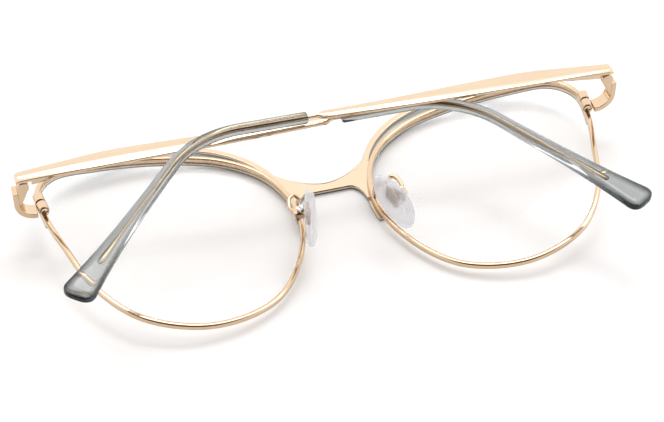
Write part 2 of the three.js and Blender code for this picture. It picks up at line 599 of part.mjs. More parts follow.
// Nose pad: a soft teardrop with a pocket in its back for the metal insert.
function nosePad() {
  const drop = new THREE.Shape();
  const half = PAD_WIDTH / 2;
  const low = PAD_LENGTH / 2;
  drop.moveTo(0, -low);
  const shoulder = PAD_LENGTH * 0.36;
  const crown = PAD_LENGTH * 0.53;
  drop.bezierCurveTo(half * 1.3, -low, half * 1.2, PAD_LENGTH * 0.1, half * 0.62, shoulder);
  drop.bezierCurveTo(half * 0.42, crown, -half * 0.42, crown, -half * 0.62, shoulder);
  drop.bezierCurveTo(-half * 1.2, PAD_LENGTH * 0.1, -half * 1.3, -low, 0, -low);
  const outline = drop.getSpacedPoints(28).slice(0, -1);
  const layers = [[0.93, 0], [1, 0.3], [0.95, 0.68], [0.72, 0.95], [0.3, 1]];
  const rings = layers.map(([share, depth]) => outline.map((v) => {
    return new THREE.Vector3(v.x * share, v.y * share, PAD_THICKNESS * depth);
  }));
  const pocket = new THREE.BoxGeometry(
    INSERT_WIDTH + 2 * SEAT, INSERT_LENGTH + 2 * SEAT, 2 * (INSERT_THICKNESS + SEAT),
  ).translate(0, INSERT_UP, 0);
  return fromSolid(solid(loft(rings, outline)).subtract(solid(pocket))).applyMatrix4(padFrame);
}

// Pad insert: a plate in the pad's back with a drilled post that reaches into the box.
function padInsert() {
  const plate = new THREE.BoxGeometry(INSERT_WIDTH, INSERT_LENGTH, INSERT_THICKNESS);
  plate.translate(0, 0, INSERT_THICKNESS / 2);
  const postLength = POST_END + INSERT_THICKNESS / 2;
  const post = new THREE.BoxGeometry(POST_WIDTH, POST_HEIGHT, postLength);
  post.translate(0, 0, INSERT_THICKNESS / 2 - postLength / 2);
  const bore = pin(PAD_SCREW + SCREW_GAP, 2 * POST_WIDTH).rotateZ(Math.PI / 2);
  bore.translate(0, 0, -PAD_SCREW_BACK);
  return fromSolid(solid(plate).add(solid(post)).subtract(solid(bore))).applyMatrix4(seatFrame);
}

// Pad box: a small cup on the end of the pad arm, its two cheeks drilled for the screw.
function padBox() {
  const half = BOX_HEIGHT / 2;
  const side = new THREE.Shape();
  side.moveTo(BOX_GAP, -half);
  side.absarc(BOX_END - BOX_ROUND, BOX_ROUND - half, BOX_ROUND, -Math.PI / 2, 0, false);
  side.absarc(BOX_END - BOX_ROUND, half - BOX_ROUND, BOX_ROUND, 0, Math.PI / 2, false);
  side.lineTo(BOX_GAP, half);
  const cup = new THREE.ExtrudeGeometry(side, { depth: BOX_WIDTH, bevelEnabled: false, curveSegments: 5 });
  cup.translate(0, 0, -BOX_WIDTH / 2).rotateY(Math.PI / 2);
  const slot = new THREE.BoxGeometry(BOX_WIDTH - 2 * BOX_WALL, 2 * BOX_HEIGHT, 2 * BOX_FLOOR);
  const bore = pin(PAD_SCREW + SCREW_GAP, 2 * BOX_WIDTH).rotateZ(Math.PI / 2);
  bore.translate(0, 0, -PAD_SCREW_BACK);
  return fromSolid(solid(cup).subtract(solid(slot)).subtract(solid(bore))).applyMatrix4(seatFrame);
}

function padScrew() {
  const half = BOX_WIDTH / 2;
  const turned = screw(PAD_SCREW, PAD_SCREW_HEAD, -half, half).rotateZ(-Math.PI / 2);
  return turned.translate(0, 0, -PAD_SCREW_BACK).applyMatrix4(seatFrame);
}

// Pad arm: a wire that leaves the back of the eyewire, hooks over and ends on the corner of the box.
function padArm() {
  const root = onFront(edge(PAD_ARM_AT, RIM_WIDTH / 2), RIM_BACK + SEAT);
  const at = (back, up, inward) => new THREE.Vector3(back, up, inward).applyMatrix4(seatFrame);
  const hook = (back, up, inward) => {
    return at(back * ARM_LOOP, ARM_LOOP_UP + up * ARM_LOOP, inward * ARM_LOOP - BOX_END);
  };
  const onCorner = (clear) => {
    const reach = (BOX_ROUND + clear) * Math.SQRT1_2 - BOX_ROUND;
    return at(0, BOX_HEIGHT / 2 + reach, -BOX_END - reach);
  };
  const elbow = hook(-0.5, 0.3, 1);
  const low = root.clone().add(new THREE.Vector3(0, 0, (elbow.z - root.z) * 0.25));
  const bent = low.clone().lerp(elbow, 0.55).add(new THREE.Vector3(0, ARM_RADIUS, 0));
  const route = new THREE.CatmullRomCurve3([
    root, low, bent, elbow, hook(0.2, 1, 0), hook(0.4, 0, -0.9), hook(0.2, -1.4, -0.95),
    onCorner(SEAT + 3 * ARM_RADIUS), onCorner(SEAT),
  ]);
  const section = new THREE.Shape();
  section.absarc(0, 0, ARM_RADIUS, 0, 2 * Math.PI, false);
  return welded(new THREE.ExtrudeGeometry(section, { steps: 40, curveSegments: 4, extrudePath: route }));
}

const model = new THREE.Group();

function add(parent, name, geometry, material) {
  const mesh = new THREE.Mesh(geometry, material);
  mesh.name = name;
  parent.add(mesh);
}

add(model, "front_plate", frontPlate(), satinGold);

const pieces = [
  ["rim_wire", rimWire(), champagneGold],
  ["lens", lens(), clearLens],
  ["rim_lock_upper", rimLockHalf(1), champagneGold],
  ["rim_lock_lower", rimLockHalf(-1), champagneGold],
  ["rim_lock_screw", rimLockScrew(), champagneGold],
  ["end_piece", endPiece(), champagneGold],
  ["hinge_screw", hingeScrew(), champagneGold],
  ["pad_arm", padArm(), champagneGold],
  ["pad_box", padBox(), champagneGold],
  ["pad_screw", padScrew(), champagneGold],
  ["pad_insert", padInsert(), champagneGold],
  ["nose_pad", nosePad(), clearSilicone],
];
for (const [name, geometry, material] of pieces) {
  add(model, `${name}_right`, welded(geometry), material);
  add(model, `${name}_left`, mirrored(geometry), material);
}

// Each temple hangs on its hinge axis and is folded flat over the front.
const sides = [
  { side: "right", sign: 1, lift: RIGHT_LIFT, play: RIGHT_PLAY, bend: RIGHT_BEND },
  { side: "left", sign: -1, lift: LEFT_LIFT, play: LEFT_PLAY, bend: LEFT_BEND },
];
for (const { side, sign, lift, play, bend } of sides) {
  const hinge = new THREE.Group();
  hinge.position.set(sign * HINGE_X, HINGE_Y, HINGE_Z);
  hinge.rotation.set(0, sign * lift * RAD, -sign * play * RAD);
  const turned = sign > 0 ? welded : mirrored;
  add(hinge, `temple_bar_${side}`, turned(templeBar(bend)), satinGold);
  add(hinge, `temple_tip_${side}`, turned(templeTip(bend)), greySleeve);
  model.add(hinge);
}

const box = new THREE.Box3().setFromObject(model);
const centre = box.getCenter(new THREE.Vector3());
model.position.set(-centre.x, -centre.y, -box.min.z);

export default model;
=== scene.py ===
import bisect
from math import acos, atan2, copysign, cos, degrees, pi, radians, sin, sqrt

import bmesh
import bpy
from mathutils import Matrix, Vector


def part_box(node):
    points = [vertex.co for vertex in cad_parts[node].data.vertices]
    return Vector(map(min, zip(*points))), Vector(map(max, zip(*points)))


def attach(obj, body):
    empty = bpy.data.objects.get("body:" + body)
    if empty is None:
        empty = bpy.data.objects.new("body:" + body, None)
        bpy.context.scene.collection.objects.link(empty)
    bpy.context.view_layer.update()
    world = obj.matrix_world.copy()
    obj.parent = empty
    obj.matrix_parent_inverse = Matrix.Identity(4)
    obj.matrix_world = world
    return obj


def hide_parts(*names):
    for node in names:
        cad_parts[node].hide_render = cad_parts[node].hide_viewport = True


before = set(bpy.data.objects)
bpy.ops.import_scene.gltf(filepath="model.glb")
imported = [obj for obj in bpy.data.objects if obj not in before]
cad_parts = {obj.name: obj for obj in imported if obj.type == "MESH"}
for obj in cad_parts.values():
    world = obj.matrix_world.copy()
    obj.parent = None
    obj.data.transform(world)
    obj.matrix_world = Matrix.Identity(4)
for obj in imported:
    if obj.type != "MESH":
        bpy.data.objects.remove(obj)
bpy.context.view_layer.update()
MM = 0.001
SIDES = (("right", 1), ("left", -1))

# Front plate
# A thin stamping that makes the bridge, the two brow bars with their crescent slots and the bands that
# back the eyewires. It is bowed round the face and plated in satin champagne gold. A thin layer at its
# front is coloured dark blue-grey and not metal, which shows as a fine dark line along the front edges.
LENS_WIDTH = 52.0
LENS_HEIGHT = 51.0
NOSE_GAP = 18.2
BRIDGE_FLAT = 6.0
FRONT_RADIUS = 320.0
RIM_WIDTH = 1.15
PLATE_THICKNESS = 0.9
PLATE_INSET = 0.1
BRIDGE_TOP = 10.45
BRIDGE_LOW = 7.95
BROW_BAR = 1.4
BROW_SLOT = 3.1
NASAL_LEG = 1.6
TEMPLE_LEG_END = 19
BROW_END = 44
SLOT_TEMPLE_END = 57
BRIDGE_JOIN = 147
SLOT_NOSE_END = 150
NASAL_LEG_TOP = 174
NASAL_LEG_END = 188
LENS_X = (NOSE_GAP + LENS_WIDTH) / 2


def smooth_line(points, closed, steps):
    """A smooth line through points, with so many steps between two of them."""
    count = len(points)
    line = []
    for i in range(count if closed else count - 1):
        b, c = points[i], points[(i + 1) % count]
        a = points[i - 1] if closed or i else b * 2 - c
        d = points[(i + 2) % count] if closed or i + 2 < count else c * 2 - b
        t0, t1, t2 = ((q - p).length ** 0.5 for p, q in ((a, b), (b, c), (c, d)))
        start = ((b - a) / t0 - (c - a) / (t0 + t1) + (c - b) / t1) * t1
        end = ((c - b) / t1 - (d - b) / (t1 + t2) + (d - c) / t2) * t1
        for k in range(steps):
            t = k / steps
            square = (c - b) * 3 - start * 2 - end
            cube = (b - c) * 2 + start + end
            line.append(b + start * t + square * t**2 + cube * t**3)
    return line if closed else line + [points[-1].copy()]


opening_shape = (
    (0.437, 0.012), (0.485, 0.2), (0.494, 0.36), (0.421, 0.462), (0.25, 0.497), (0, 0.496), (-0.26, 0.432),
    (-0.428, 0.289), (-0.4995, 0.055), (-0.45, -0.2), (-0.286, -0.427), (-0.03, -0.5), (0.215, -0.416),
    (0.359, -0.231),
)
opening = smooth_line([Vector((u * LENS_WIDTH, v * LENS_HEIGHT)) for u, v in opening_shape], True, 48)
turns = sorted((degrees(atan2(p.y, p.x)), p.length) for p in opening)
turn_angles = [turn for turn, _ in turns]


def opening_point(angle):
    """The point of the lens opening at an angle round the lens, from the temple side."""
    wanted = (angle + 180) % 360 - 180
    after = bisect.bisect(turn_angles, wanted) % len(turns)
    (a, near), (b, far) = turns[after - 1], turns[after]
    reach = near + (far - near) * ((wanted - a) % 360) / ((b - a) % 360)
    return Vector((cos(radians(angle)), sin(radians(angle)))) * reach


def opening_normal(angle):
    along = opening_point(angle + 2) - opening_point(angle - 2)
    return Vector((along.y, -along.x)).normalized()


def edge(angle, out):
    """A point outside the lens opening, square to its edge."""
    return opening_point(angle) + opening_normal(angle) * out + Vector((LENS_X, 0))


def bow(x):
    """How far the front is bowed back at this distance from the nose."""
    return max(abs(x) - BRIDGE_FLAT, 0) ** 2 / FRONT_RADIUS / 2


rim_low = min(edge(angle, RIM_WIDTH).y for angle in range(-120, -60))
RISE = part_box("rim_wire_right")[0].y / MM - rim_low


def on_front(point, depth):
    """A point of the flat drawing, laid on the bowed front."""
    return Vector((point.x, point.y + RISE, bow(point.x) + depth))


SHARP_ANGLE = 38


def placed(name, data):
    """An object for a mesh, a lamp or a camera, put in the scene."""
    thing = bpy.data.objects.new(name, data)
    bpy.context.scene.collection.objects.link(thing)
    return thing


def finished(name, build, material):
    """A smooth piece in its material, from a mesh in the making."""
    mesh = bpy.data.meshes.new(name)
    build.to_mesh(mesh)
    build.free()
    mesh.shade_smooth()
    mesh.set_sharp_from_angle(angle=radians(SHARP_ANGLE))
    mesh.materials.append(material)
    return placed(name, mesh)


def round_edges(piece, width, segments=3, angle=SHARP_ANGLE):
    """Breaks a piece's sharp edges."""
    bevel = piece.modifiers.new("broken edges", "BEVEL")
    bevel.width = width * MM
    bevel.segments = segments
    bevel.limit_method = "ANGLE"
    bevel.angle_limit = radians(angle)
    bevel.use_clamp_overlap = False
    bevel.harden_normals = True
    return piece


def node_group(name, kind, inputs, outputs):
    """An empty node group with its named sockets; gives the group and its two ends."""
    group = bpy.data.node_groups.new(name, kind)
    for way, sockets in (("INPUT", inputs), ("OUTPUT", outputs)):
        for label, socket in sockets.items():
            group.interface.new_socket(label, in_out=way, socket_type="NodeSocket" + socket)
    return group, group.nodes.new("NodeGroupInput"), group.nodes.new("NodeGroupOutput")


def set_inputs(node, values):
    for label, value in values.items():
        node.inputs[label].default_value = value


def connect(tree, *links):
    """Links nodes: each link is a node, its output, a node and its input."""
    for source, output, target, entry in links:
        tree.links.new(source.outputs[output], target.inputs[entry])


def math_step(tree, kind, first, second):
    """One step of a sum in a node tree; each side is a socket or a number."""
    step = tree.nodes.new("ShaderNodeMath")
    step.operation = kind
    for socket, value in zip(step.inputs, (first, second)):
        if isinstance(value, float):
            socket.default_value = value
        else:
            tree.links.new(value, socket)
    return step.outputs["Value"]


def new_material(name, values):
    """A material with these values in its shader; gives the material and the shader."""
    material = bpy.data.materials.new(name)
    material.use_nodes = True
    shader = material.node_tree.nodes["Principled BSDF"]
    set_inputs(shader, values)
    return material, shader


# Plating and polish: fine marks drawn out along the work, which move its tone and its gloss a little.
polish, polish_in, polish_out = node_group(
    "polish marks",
    "ShaderNodeTree",
    {
        "Tone": "Color", "Deep Tone": "Color", "Least Roughness": "Float", "Most Roughness": "Float",
        "Marks": "Float",
    },
    {"Color": "Color", "Roughness": "Float"},
)
add = polish.nodes.new
place, drawn, grain = add("ShaderNodeTexCoord"), add("ShaderNodeMapping"), add("ShaderNodeTexNoise")
tone, gloss = add("ShaderNodeMix"), add("ShaderNodeMapRange")
drawn.inputs["Scale"].default_value = (0.12, 1.0, 1.0)
grain.inputs["Detail"].default_value = 4
tone.data_type = "RGBA"
connect(
    polish,
    (place, "Object", drawn, "Vector"),
    (drawn, "Vector", grain, "Vector"),
    (polish_in, "Marks", grain, "Scale"),
    (grain, "Fac", tone, "Factor"),
    (polish_in, "Tone", tone, 6),
    (polish_in, "Deep Tone", tone, 7),
    (grain, "Fac", gloss, "Value"),
    (polish_in, "Least Roughness", gloss, "To Min"),
    (polish_in, "Most Roughness", gloss, "To Max"),
    (tone, 2, polish_out, "Color"),
    (gloss, "Result", polish_out, "Roughness"),
)


def plated(name, light, deep, least, most, marks):
    """A plated metal with polish marks between two tones and two roughnesses."""
    material, shader = new_material(name, {"Metallic": 1.0})
    made = material.node_tree.nodes.new("ShaderNodeGroup")
    made.name = "polish"
    made.node_tree = polish
    for socket, value in zip(made.inputs, ((*light, 1), (*deep, 1), least, most, marks)):
        socket.default_value = value
    for output, entry in (("Color", "Base Color"), ("Roughness", "Roughness")):
        connect(material.node_tree, (made, output, shader, entry))
    return material


SATIN_LIGHT = (0.66, 0.52, 0.378)
SATIN_DEEP = (0.61, 0.47, 0.332)
# The colour of the non-metal band along the plate's front, and how far back from the front it reaches.
FRONT_BAND_TONE = (0.08, 0.15, 0.19)
FRONT_BAND_DEPTH = 0.42
plate_metal = plated("satin gold plate", SATIN_LIGHT, SATIN_DEEP, 0.16, 0.24, 700.0)

# The dark blue-grey band lies where the height above the bowed front is less than its depth; there the plate
# is not metal.
plate_tree = plate_metal.node_tree
plate_shader, plate_marks = plate_tree.nodes["Principled BSDF"], plate_tree.nodes["polish"]
plate_place = plate_tree.nodes.new("ShaderNodeTexCoord")
apart = plate_tree.nodes.new("ShaderNodeSeparateXYZ")
connect(plate_tree, (plate_place, "Object", apart, "Vector"))
reach = math_step(plate_tree, "ABSOLUTE", apart.outputs["X"], 0.0)
past_flat = math_step(plate_tree, "SUBTRACT", reach, BRIDGE_FLAT * MM)
past_flat = math_step(plate_tree, "MAXIMUM", past_flat, 0.0)
bowed = math_step(plate_tree, "MULTIPLY", past_flat, past_flat)
bowed = math_step(plate_tree, "DIVIDE", bowed, 2 * FRONT_RADIUS * MM)
height = math_step(plate_tree, "SUBTRACT", apart.outputs["Z"], bowed)
front_band = math_step(plate_tree, "LESS_THAN", height, FRONT_BAND_DEPTH * MM)
bare = math_step(plate_tree, "SUBTRACT", 1.0, front_band)
front_colour = plate_tree.nodes.new("ShaderNodeMix")
front_colour.data_type = "RGBA"
front_colour.inputs[7].default_value = (*FRONT_BAND_TONE, 1)
plate_tree.links.new(front_band, front_colour.inputs["Factor"])
plate_tree.links.new(bare, plate_shader.inputs["Metallic"])
connect(
    plate_tree, (plate_marks, "Color", front_colour, 6), (front_colour, 2, plate_shader, "Base Color")
)
LEAST_SLOT = 0.28
LEAST_BAR = 0.1


def slot_at(angle):
    """The crescent slot's width at an angle round the lens."""
    share = (SLOT_NOSE_END - angle) / (SLOT_NOSE_END - SLOT_TEMPLE_END)
    width = BROW_SLOT * sin(pi * share) if 0 < share < 1 else 0
    return width if width > LEAST_SLOT else 0


def bar_at(angle):
    """The width of the brow bar or the nose leg at an angle round the lens."""
    if angle > BRIDGE_JOIN:
        share = min((angle - BRIDGE_JOIN) / (NASAL_LEG_TOP - BRIDGE_JOIN), 1)
        return BROW_BAR + (NASAL_LEG - RIM_WIDTH - BROW_BAR) * share
    width = BROW_BAR * min(max((angle - BROW_END) / (SLOT_TEMPLE_END - BROW_END), 0), 1)
    return width if width > LEAST_BAR else 0


def bend_through(a, b, c, t):
    return a * (1 - t) ** 2 + b * (2 * t * (1 - t)) + c * t**2


build = bmesh.new()
sheet_spots = {}


def plate_spot(point):
    """The plate's corner at a point of the flat drawing, made once."""
    key = (round(point.x, 4), round(point.y, 4))
    if key not in sheet_spots:
        sheet_spots[key] = build.verts.new(on_front(point, PLATE_THICKNESS) * MM)
    return sheet_spots[key]


def plate_face(points):
    """A facet of the right half of the plate and the like one of the left half."""
    for sign in (1, -1):
        corners = [plate_spot(Vector((sign * p.x, p.y))) for p in points]
        single = list(dict.fromkeys(corners))
        if len(single) > 2:
            build.faces.new(single)


LEG_ROUND = 1.4
PLATE_STEP = 0.5
PLATE_EDGE = 0.24
BRIDGE_STEPS = 28
SADDLE_AT = 0.47
SADDLE_RISE = 0.25
KNEE_IN = 0.6
LOW_FLAT = 0.6


def end_rounding(angle):
    """Draws the ends of the plate's legs in to a round."""
    left = min(angle - TEMPLE_LEG_END, NASAL_LEG_END - angle)
    return sqrt(1 - (1 - min(left / LEG_ROUND, 1)) ** 2) if left < LEG_ROUND else 1


plate_steps = int((NASAL_LEG_END - TEMPLE_LEG_END) / PLATE_STEP)
plate_angles = [TEMPLE_LEG_END + PLATE_STEP * (k + 0.5) for k in range(plate_steps)]
rows = []
for angle in plate_angles:
    slot = slot_at(angle)
    bar = bar_at(angle)
    middle = (PLATE_INSET + RIM_WIDTH + bar) / 2
    offsets = (PLATE_INSET, RIM_WIDTH, RIM_WIDTH + slot, RIM_WIDTH + slot + bar)
    drawn_in = end_rounding(angle)
    rows.append([edge(angle, middle + (out - middle) * drawn_in) for out in offsets])
for row, after in zip(rows, rows[1:]):
    plate_face((row[0], row[1], after[1], after[0]))
    plate_face((row[2], row[3], after[3], after[2]))
join_rows = [row for angle, row in zip(plate_angles, rows) if BRIDGE_JOIN <= angle <= NASAL_LEG_TOP]
side_line = [row[3] for row in join_rows]
join, leg_top = side_line[0], side_line[-1]
top_middle, low_middle = Vector((0, BRIDGE_TOP)), Vector((0, BRIDGE_LOW))
saddle = Vector((join.x * SADDLE_AT, BRIDGE_TOP + SADDLE_RISE))
low_knee = Vector((leg_top.x - KNEE_IN, BRIDGE_LOW))
low_end = Vector((leg_top.x * LOW_FLAT, BRIDGE_LOW))
half_steps = BRIDGE_STEPS // 2
top_line = [bend_through(join, saddle, top_middle, k / BRIDGE_STEPS) for k in range(BRIDGE_STEPS + 1)]
low_line = [bend_through(leg_top, low_knee, low_end, k / half_steps) for k in range(half_steps)]
for k in range(half_steps + 1):
    low_line.append(low_end * (1 - k / half_steps) + low_middle * (k / half_steps))
bridge = []
for i, side_point in enumerate(side_line):
    t = i / (len(side_line) - 1)
    middle = Vector((0, BRIDGE_TOP + (BRIDGE_LOW - BRIDGE_TOP) * t))
    row = []
    for k in range(BRIDGE_STEPS + 1):
        u = k / BRIDGE_STEPS
        across = top_line[k] * (1 - t) + low_line[k] * t
        along = side_point * (1 - u) + middle * u
        top_chord = join * (1 - u) + top_line[-1] * u
        low_chord = leg_top * (1 - u) + low_line[-1] * u
        row.append(across + along - (top_chord * (1 - t) + low_chord * t))
    row[0] = side_point
    row[-1] = Vector((0, row[-1].y))
    bridge.append(row)
for row, after in zip(bridge, bridge[1:]):
    for k in range(BRIDGE_STEPS):
        plate_face((row[k], row[k + 1], after[k + 1], after[k]))
grown = bmesh.ops.extrude_face_region(build, geom=build.faces[:])
for corner in grown["geom"]:
    if isinstance(corner, bmesh.types.BMVert):
        corner.co.z -= PLATE_THICKNESS * MM
bmesh.ops.recalc_face_normals(build, faces=build.faces)
front_plate = finished("front_plate_stamping", build, plate_metal)
round_edges(front_plate, PLATE_EDGE)
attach(front_plate, "front")
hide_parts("front_plate")

# Eyewires
# A polished gold wire of rounded oblong section is bent round each lens and soldered behind the front
# plate. Its two ends meet at the rim lock on the temple side.
RIM_DEPTH = 1.3
RIM_ROUND = 0.42
SEAT = 0.12
LOCK_AT = 27
LOCK_GAP = 0.35
RIM_FRONT = PLATE_THICKNESS + SEAT
RIM_BACK = RIM_FRONT + RIM_DEPTH
RIM_MIDDLE = RIM_FRONT + RIM_DEPTH / 2
WIRE_SHARP = 45
RIM_STEPS = 300
polished_gold = plated(
    "polished champagne gold", (0.65, 0.49, 0.34), (0.6, 0.44, 0.295), 0.07, 0.12, 1200.0
)


def geometry_group(name, *numbers):
    """A geometry group with named numbers; its result is made real and given a material."""
    inputs = {"Geometry": "Geometry", **dict.fromkeys(numbers, "Float"), "Material": "Material"}
    tree, start, end = node_group(name, "GeometryNodeTree", inputs, {"Geometry": "Geometry"})
    real = tree.nodes.new("GeometryNodeRealizeInstances")
    finish = tree.nodes.new("GeometryNodeSetMaterial")
    connect(
        tree,
        (real, "Geometry", finish, "Geometry"),
        (start, "Material", finish, "Material"),
        (finish, "Geometry", end, "Geometry"),
    )
    return tree, start, real


# A wire of rounded oblong section carried along the path that the piece's own mesh draws.
wire_tree, wire_in, wire_end = geometry_group("drawn wire", "Width", "Depth", "Rounding")
add = wire_tree.nodes.new
path, upright = add("GeometryNodeMeshToCurve"), add("GeometryNodeSetCurveNormal")
section, rounding = add("GeometryNodeCurvePrimitiveQuadrilateral"), add("GeometryNodeFilletCurve")
draw, soft = add("GeometryNodeCurveToMesh"), add("GeometryNodeSetShadeSmooth")
upright.mode = "Z_UP"
rounding.mode = "POLY"
set_inputs(rounding, {"Count": 5, "Limit Radius": True})
set_inputs(draw, {"Fill Caps": True})
connect(
    wire_tree,
    (wire_in, "Geometry", path, "Mesh"),
    (path, "Curve", upright, "Curve"),
    (wire_in, "Width", section, "Width"),
    (wire_in, "Depth", section, "Height"),
    (section, "Curve", rounding, "Curve"),
    (wire_in, "Rounding", rounding, "Radius"),
    (upright, "Curve", draw, "Curve"),
    (rounding, "Curve", draw, "Profile Curve"),
    (draw, "Mesh", soft, "Geometry"),
    (soft, "Geometry", wire_end, "Geometry"),
)


def set_and_keep(name, mesh, tree, material, sizes):
    """Runs a geometry group on a mesh and keeps the result as a plain piece."""
    maker = placed(name + "_maker", mesh)
    step = maker.modifiers.new("made", "NODES")
    step.node_group = tree
    values = {"Material": material, **{label: size * MM for label, size in sizes.items()}}
    for socket in tree.interface.items_tree:
        if socket.name in values:
            step[socket.identifier] = values[socket.name]
    result = maker.evaluated_get(bpy.context.evaluated_depsgraph_get())
    plain = bpy.data.meshes.new_from_object(result)
    plain.name = name
    bpy.data.objects.remove(maker)
    merged = bmesh.new()
    merged.from_mesh(plain)
    bmesh.ops.recalc_face_normals(merged, faces=merged.faces)
    merged.to_mesh(plain)
    merged.free()
    plain.set_sharp_from_angle(angle=radians(WIRE_SHARP))
    return placed(name, plain)


def wire_piece(name, line, width, depth, rounding_radius, material):
    """A piece of wire along a line of points."""
    mesh = bpy.data.meshes.new(name + "_line")
    mesh.from_pydata([point * MM for point in line], [(i, i + 1) for i in range(len(line) - 1)], [])
    sizes = {"Width": width, "Depth": depth, "Rounding": rounding_radius}
    return set_and_keep(name, mesh, wire_tree, material, sizes)


def mirrored(line, sign):
    return [Vector((sign * point.x, point.y, point.z)) for point in line]


half_split = degrees(LOCK_GAP / 2 / opening_point(LOCK_AT).length)
rim_line = []
for k in range(RIM_STEPS + 1):
    angle = LOCK_AT + half_split + (360 - 2 * half_split) * k / RIM_STEPS
    rim_line.append(on_front(edge(angle, RIM_WIDTH / 2), RIM_MIDDLE))
for side, sign in SIDES:
    eyewire = wire_piece(
        f"eyewire_{side}", mirrored(rim_line, sign), RIM_WIDTH, RIM_DEPTH, RIM_ROUND, polished_gold
    )
    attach(eyewire, "front")
    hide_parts(f"rim_wire_{side}")

# Lenses
# Clear plastic lenses with a thin coating against reflections, domed to the front and edged with a
# fine bevel that sits in the eyewire.
LENS_THICKNESS = 1.6
LENS_BULGE = 1.68
LENS_STEPS = 144
lens_clear, _ = new_material(
    "clear coated lens",
    {
        "Base Color": (0.97, 0.985, 0.99, 1), "Roughness": 0.02, "IOR": 1.5, "Transmission Weight": 1.0,
        "Alpha": 0.04,
    },
)
lens_angles = [360 * k / LENS_STEPS for k in range(LENS_STEPS)]


def lens_ring(share, out, depth):
    ring = []
    for angle in lens_angles:
        flat = (edge(angle, out) - Vector((LENS_X, 0))) * share + Vector((LENS_X, 0))
        ring.append(on_front(flat, RIM_MIDDLE + depth - LENS_BULGE * (1 - share * share)))
    return ring


def skin(rings):
    """Corner points and faces of a row of rings, closed at both ends."""
    count = len(rings[0])
    corners = [point for ring in rings for point in ring]
    faces = [list(range(count)), list(range(len(corners) - count, len(corners)))]
    for i in range(len(rings) - 1):
        for k in range(count):
            a, b = i * count + k, i * count + (k + 1) % count
            faces.append([a, b, b + count, a + count])
    return corners, faces


MERGE_WITHIN = 0.002


def new_piece(name, shells, material, sign=1, shade=None):
    """A piece from closed shells of corner points and faces, on its side; shade marks the corners."""
    build = bmesh.new()
    layer = build.verts.layers.float.new("shade") if shade else None
    for corners, faces in shells:
        made = [build.verts.new(corner * MM) for corner in mirrored(corners, sign)]
        for corner, value in zip(made, shade or []):
            corner[layer] = value
        for face in faces:
            build.faces.new([made[i] for i in face])
    bmesh.ops.remove_doubles(build, verts=build.verts, dist=MERGE_WITHIN * MM)
    bmesh.ops.dissolve_degenerate(build, edges=build.edges, dist=MERGE_WITHIN / 2 * MM)
    bmesh.ops.recalc_face_normals(build, faces=build.faces)
    return finished(name, build, material)


dome = [0.02, 0.12, 0.25, 0.4, 0.55, 0.7, 0.85, 0.95]
lens_half = LENS_THICKNESS / 2
rings = [lens_ring(share, -SEAT, -lens_half) for share in dome]
rings += [lens_ring(1, -2 * SEAT, -lens_half), lens_ring(1, -SEAT, -lens_half + SEAT)]
rings += [lens_ring(1, -SEAT, lens_half - SEAT), lens_ring(1, -2 * SEAT, lens_half)]
rings += [lens_ring(share, -SEAT, lens_half) for share in reversed(dome)]
for side, sign in SIDES:
    lens = new_piece(f"lens_clear_{side}", [skin(rings)], lens_clear, sign)
    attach(lens, "front")
    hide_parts(f"lens_{side}")

# Rim locks
# A small barrel cut in two halves, soldered along the back of the eyewire over its split. A screw
# through the barrel draws the halves together and holds the lens.
LOCK_RADIUS = 1.15
LOCK_HALF = 2.3
LOCK_SINK = 0.75
LOCK_SCREW = 0.45
LOCK_HEAD = 0.85
LOCK_EDGE = 0.14
ROUND_STEPS = 40
lock_seat = on_front(edge(LOCK_AT, RIM_WIDTH / 2), RIM_BACK + SEAT)
lock_out = opening_normal(LOCK_AT)
lock_back = Vector((-(lock_seat.x - BRIDGE_FLAT) / FRONT_RADIUS, 0, 1)).normalized()
lock_up = Vector((-lock_out.y, lock_out.x, 0))
lock_up = (lock_up - lock_back * lock_up.dot(lock_back)).normalized()
lock_across = lock_up.cross(lock_back)
lock_frame = Matrix((lock_across, lock_up, lock_back)).transposed().to_4x4()
lock_frame.translation = lock_seat


def turned_on(axis_frame, stops, steps=ROUND_STEPS):
    """A piece turned on a lathe along its frame's Y: stops of height and radius."""
    rings = []
    for height, radius in stops:
        turn = [2 * pi * k / steps for k in range(steps)]
        rings.append([axis_frame @ Vector((radius * cos(t), height, radius * sin(t))) for t in turn])
    return skin(rings)


def lock_half(sign):
    """A half barrel: round behind, flat where it is soldered to the eyewire."""
    flat = -LOCK_RADIUS * LOCK_SINK
    reach = acos(-LOCK_SINK)
    outline = []
    for k in range(ROUND_STEPS + 1):
        turn = pi / 2 - reach + 2 * reach * k / ROUND_STEPS
        outline.append((LOCK_RADIUS * cos(turn), LOCK_RADIUS * sin(turn) - flat))
    stops = (LOCK_GAP / 2, LOCK_GAP / 2 + LOCK_HALF)
    rings = [[lock_frame @ Vector((x, sign * y, z)) for x, z in outline] for y in stops]
    return skin(rings)


for side, sign in SIDES:
    for name, half in (("upper", 1), ("lower", -1)):
        barrel = new_piece(f"lock_barrel_{name}_{side}", [lock_half(half)], polished_gold, sign)
        round_edges(barrel, LOCK_EDGE)
        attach(barrel, "front")
        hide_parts(f"rim_lock_{name}_{side}")

# Screws
# Turned steel screws with low heads and a saw-cut slot. They hold the rim locks and the hinges, where
# they are plated with the frame, and the nose pads, where they are bare.
HEAD_HEIGHT = 0.5
HINGE_SCREW = 0.58
HINGE_HEAD = 0.95
PAD_SCREW = 0.42
PAD_SCREW_HEAD = 0.75
SCREW_EDGE = 0.06
SCREW_SIDES = 32
SLOT_LENGTH = 3.0
SLOT_WIDTH = 0.32
screw_gold = plated("plated screw steel", (0.63, 0.495, 0.36), (0.58, 0.445, 0.31), 0.12, 0.2, 1500.0)
screw_steel = plated("bare screw steel", (0.78, 0.78, 0.8), (0.68, 0.68, 0.7), 0.14, 0.22, 1500.0)

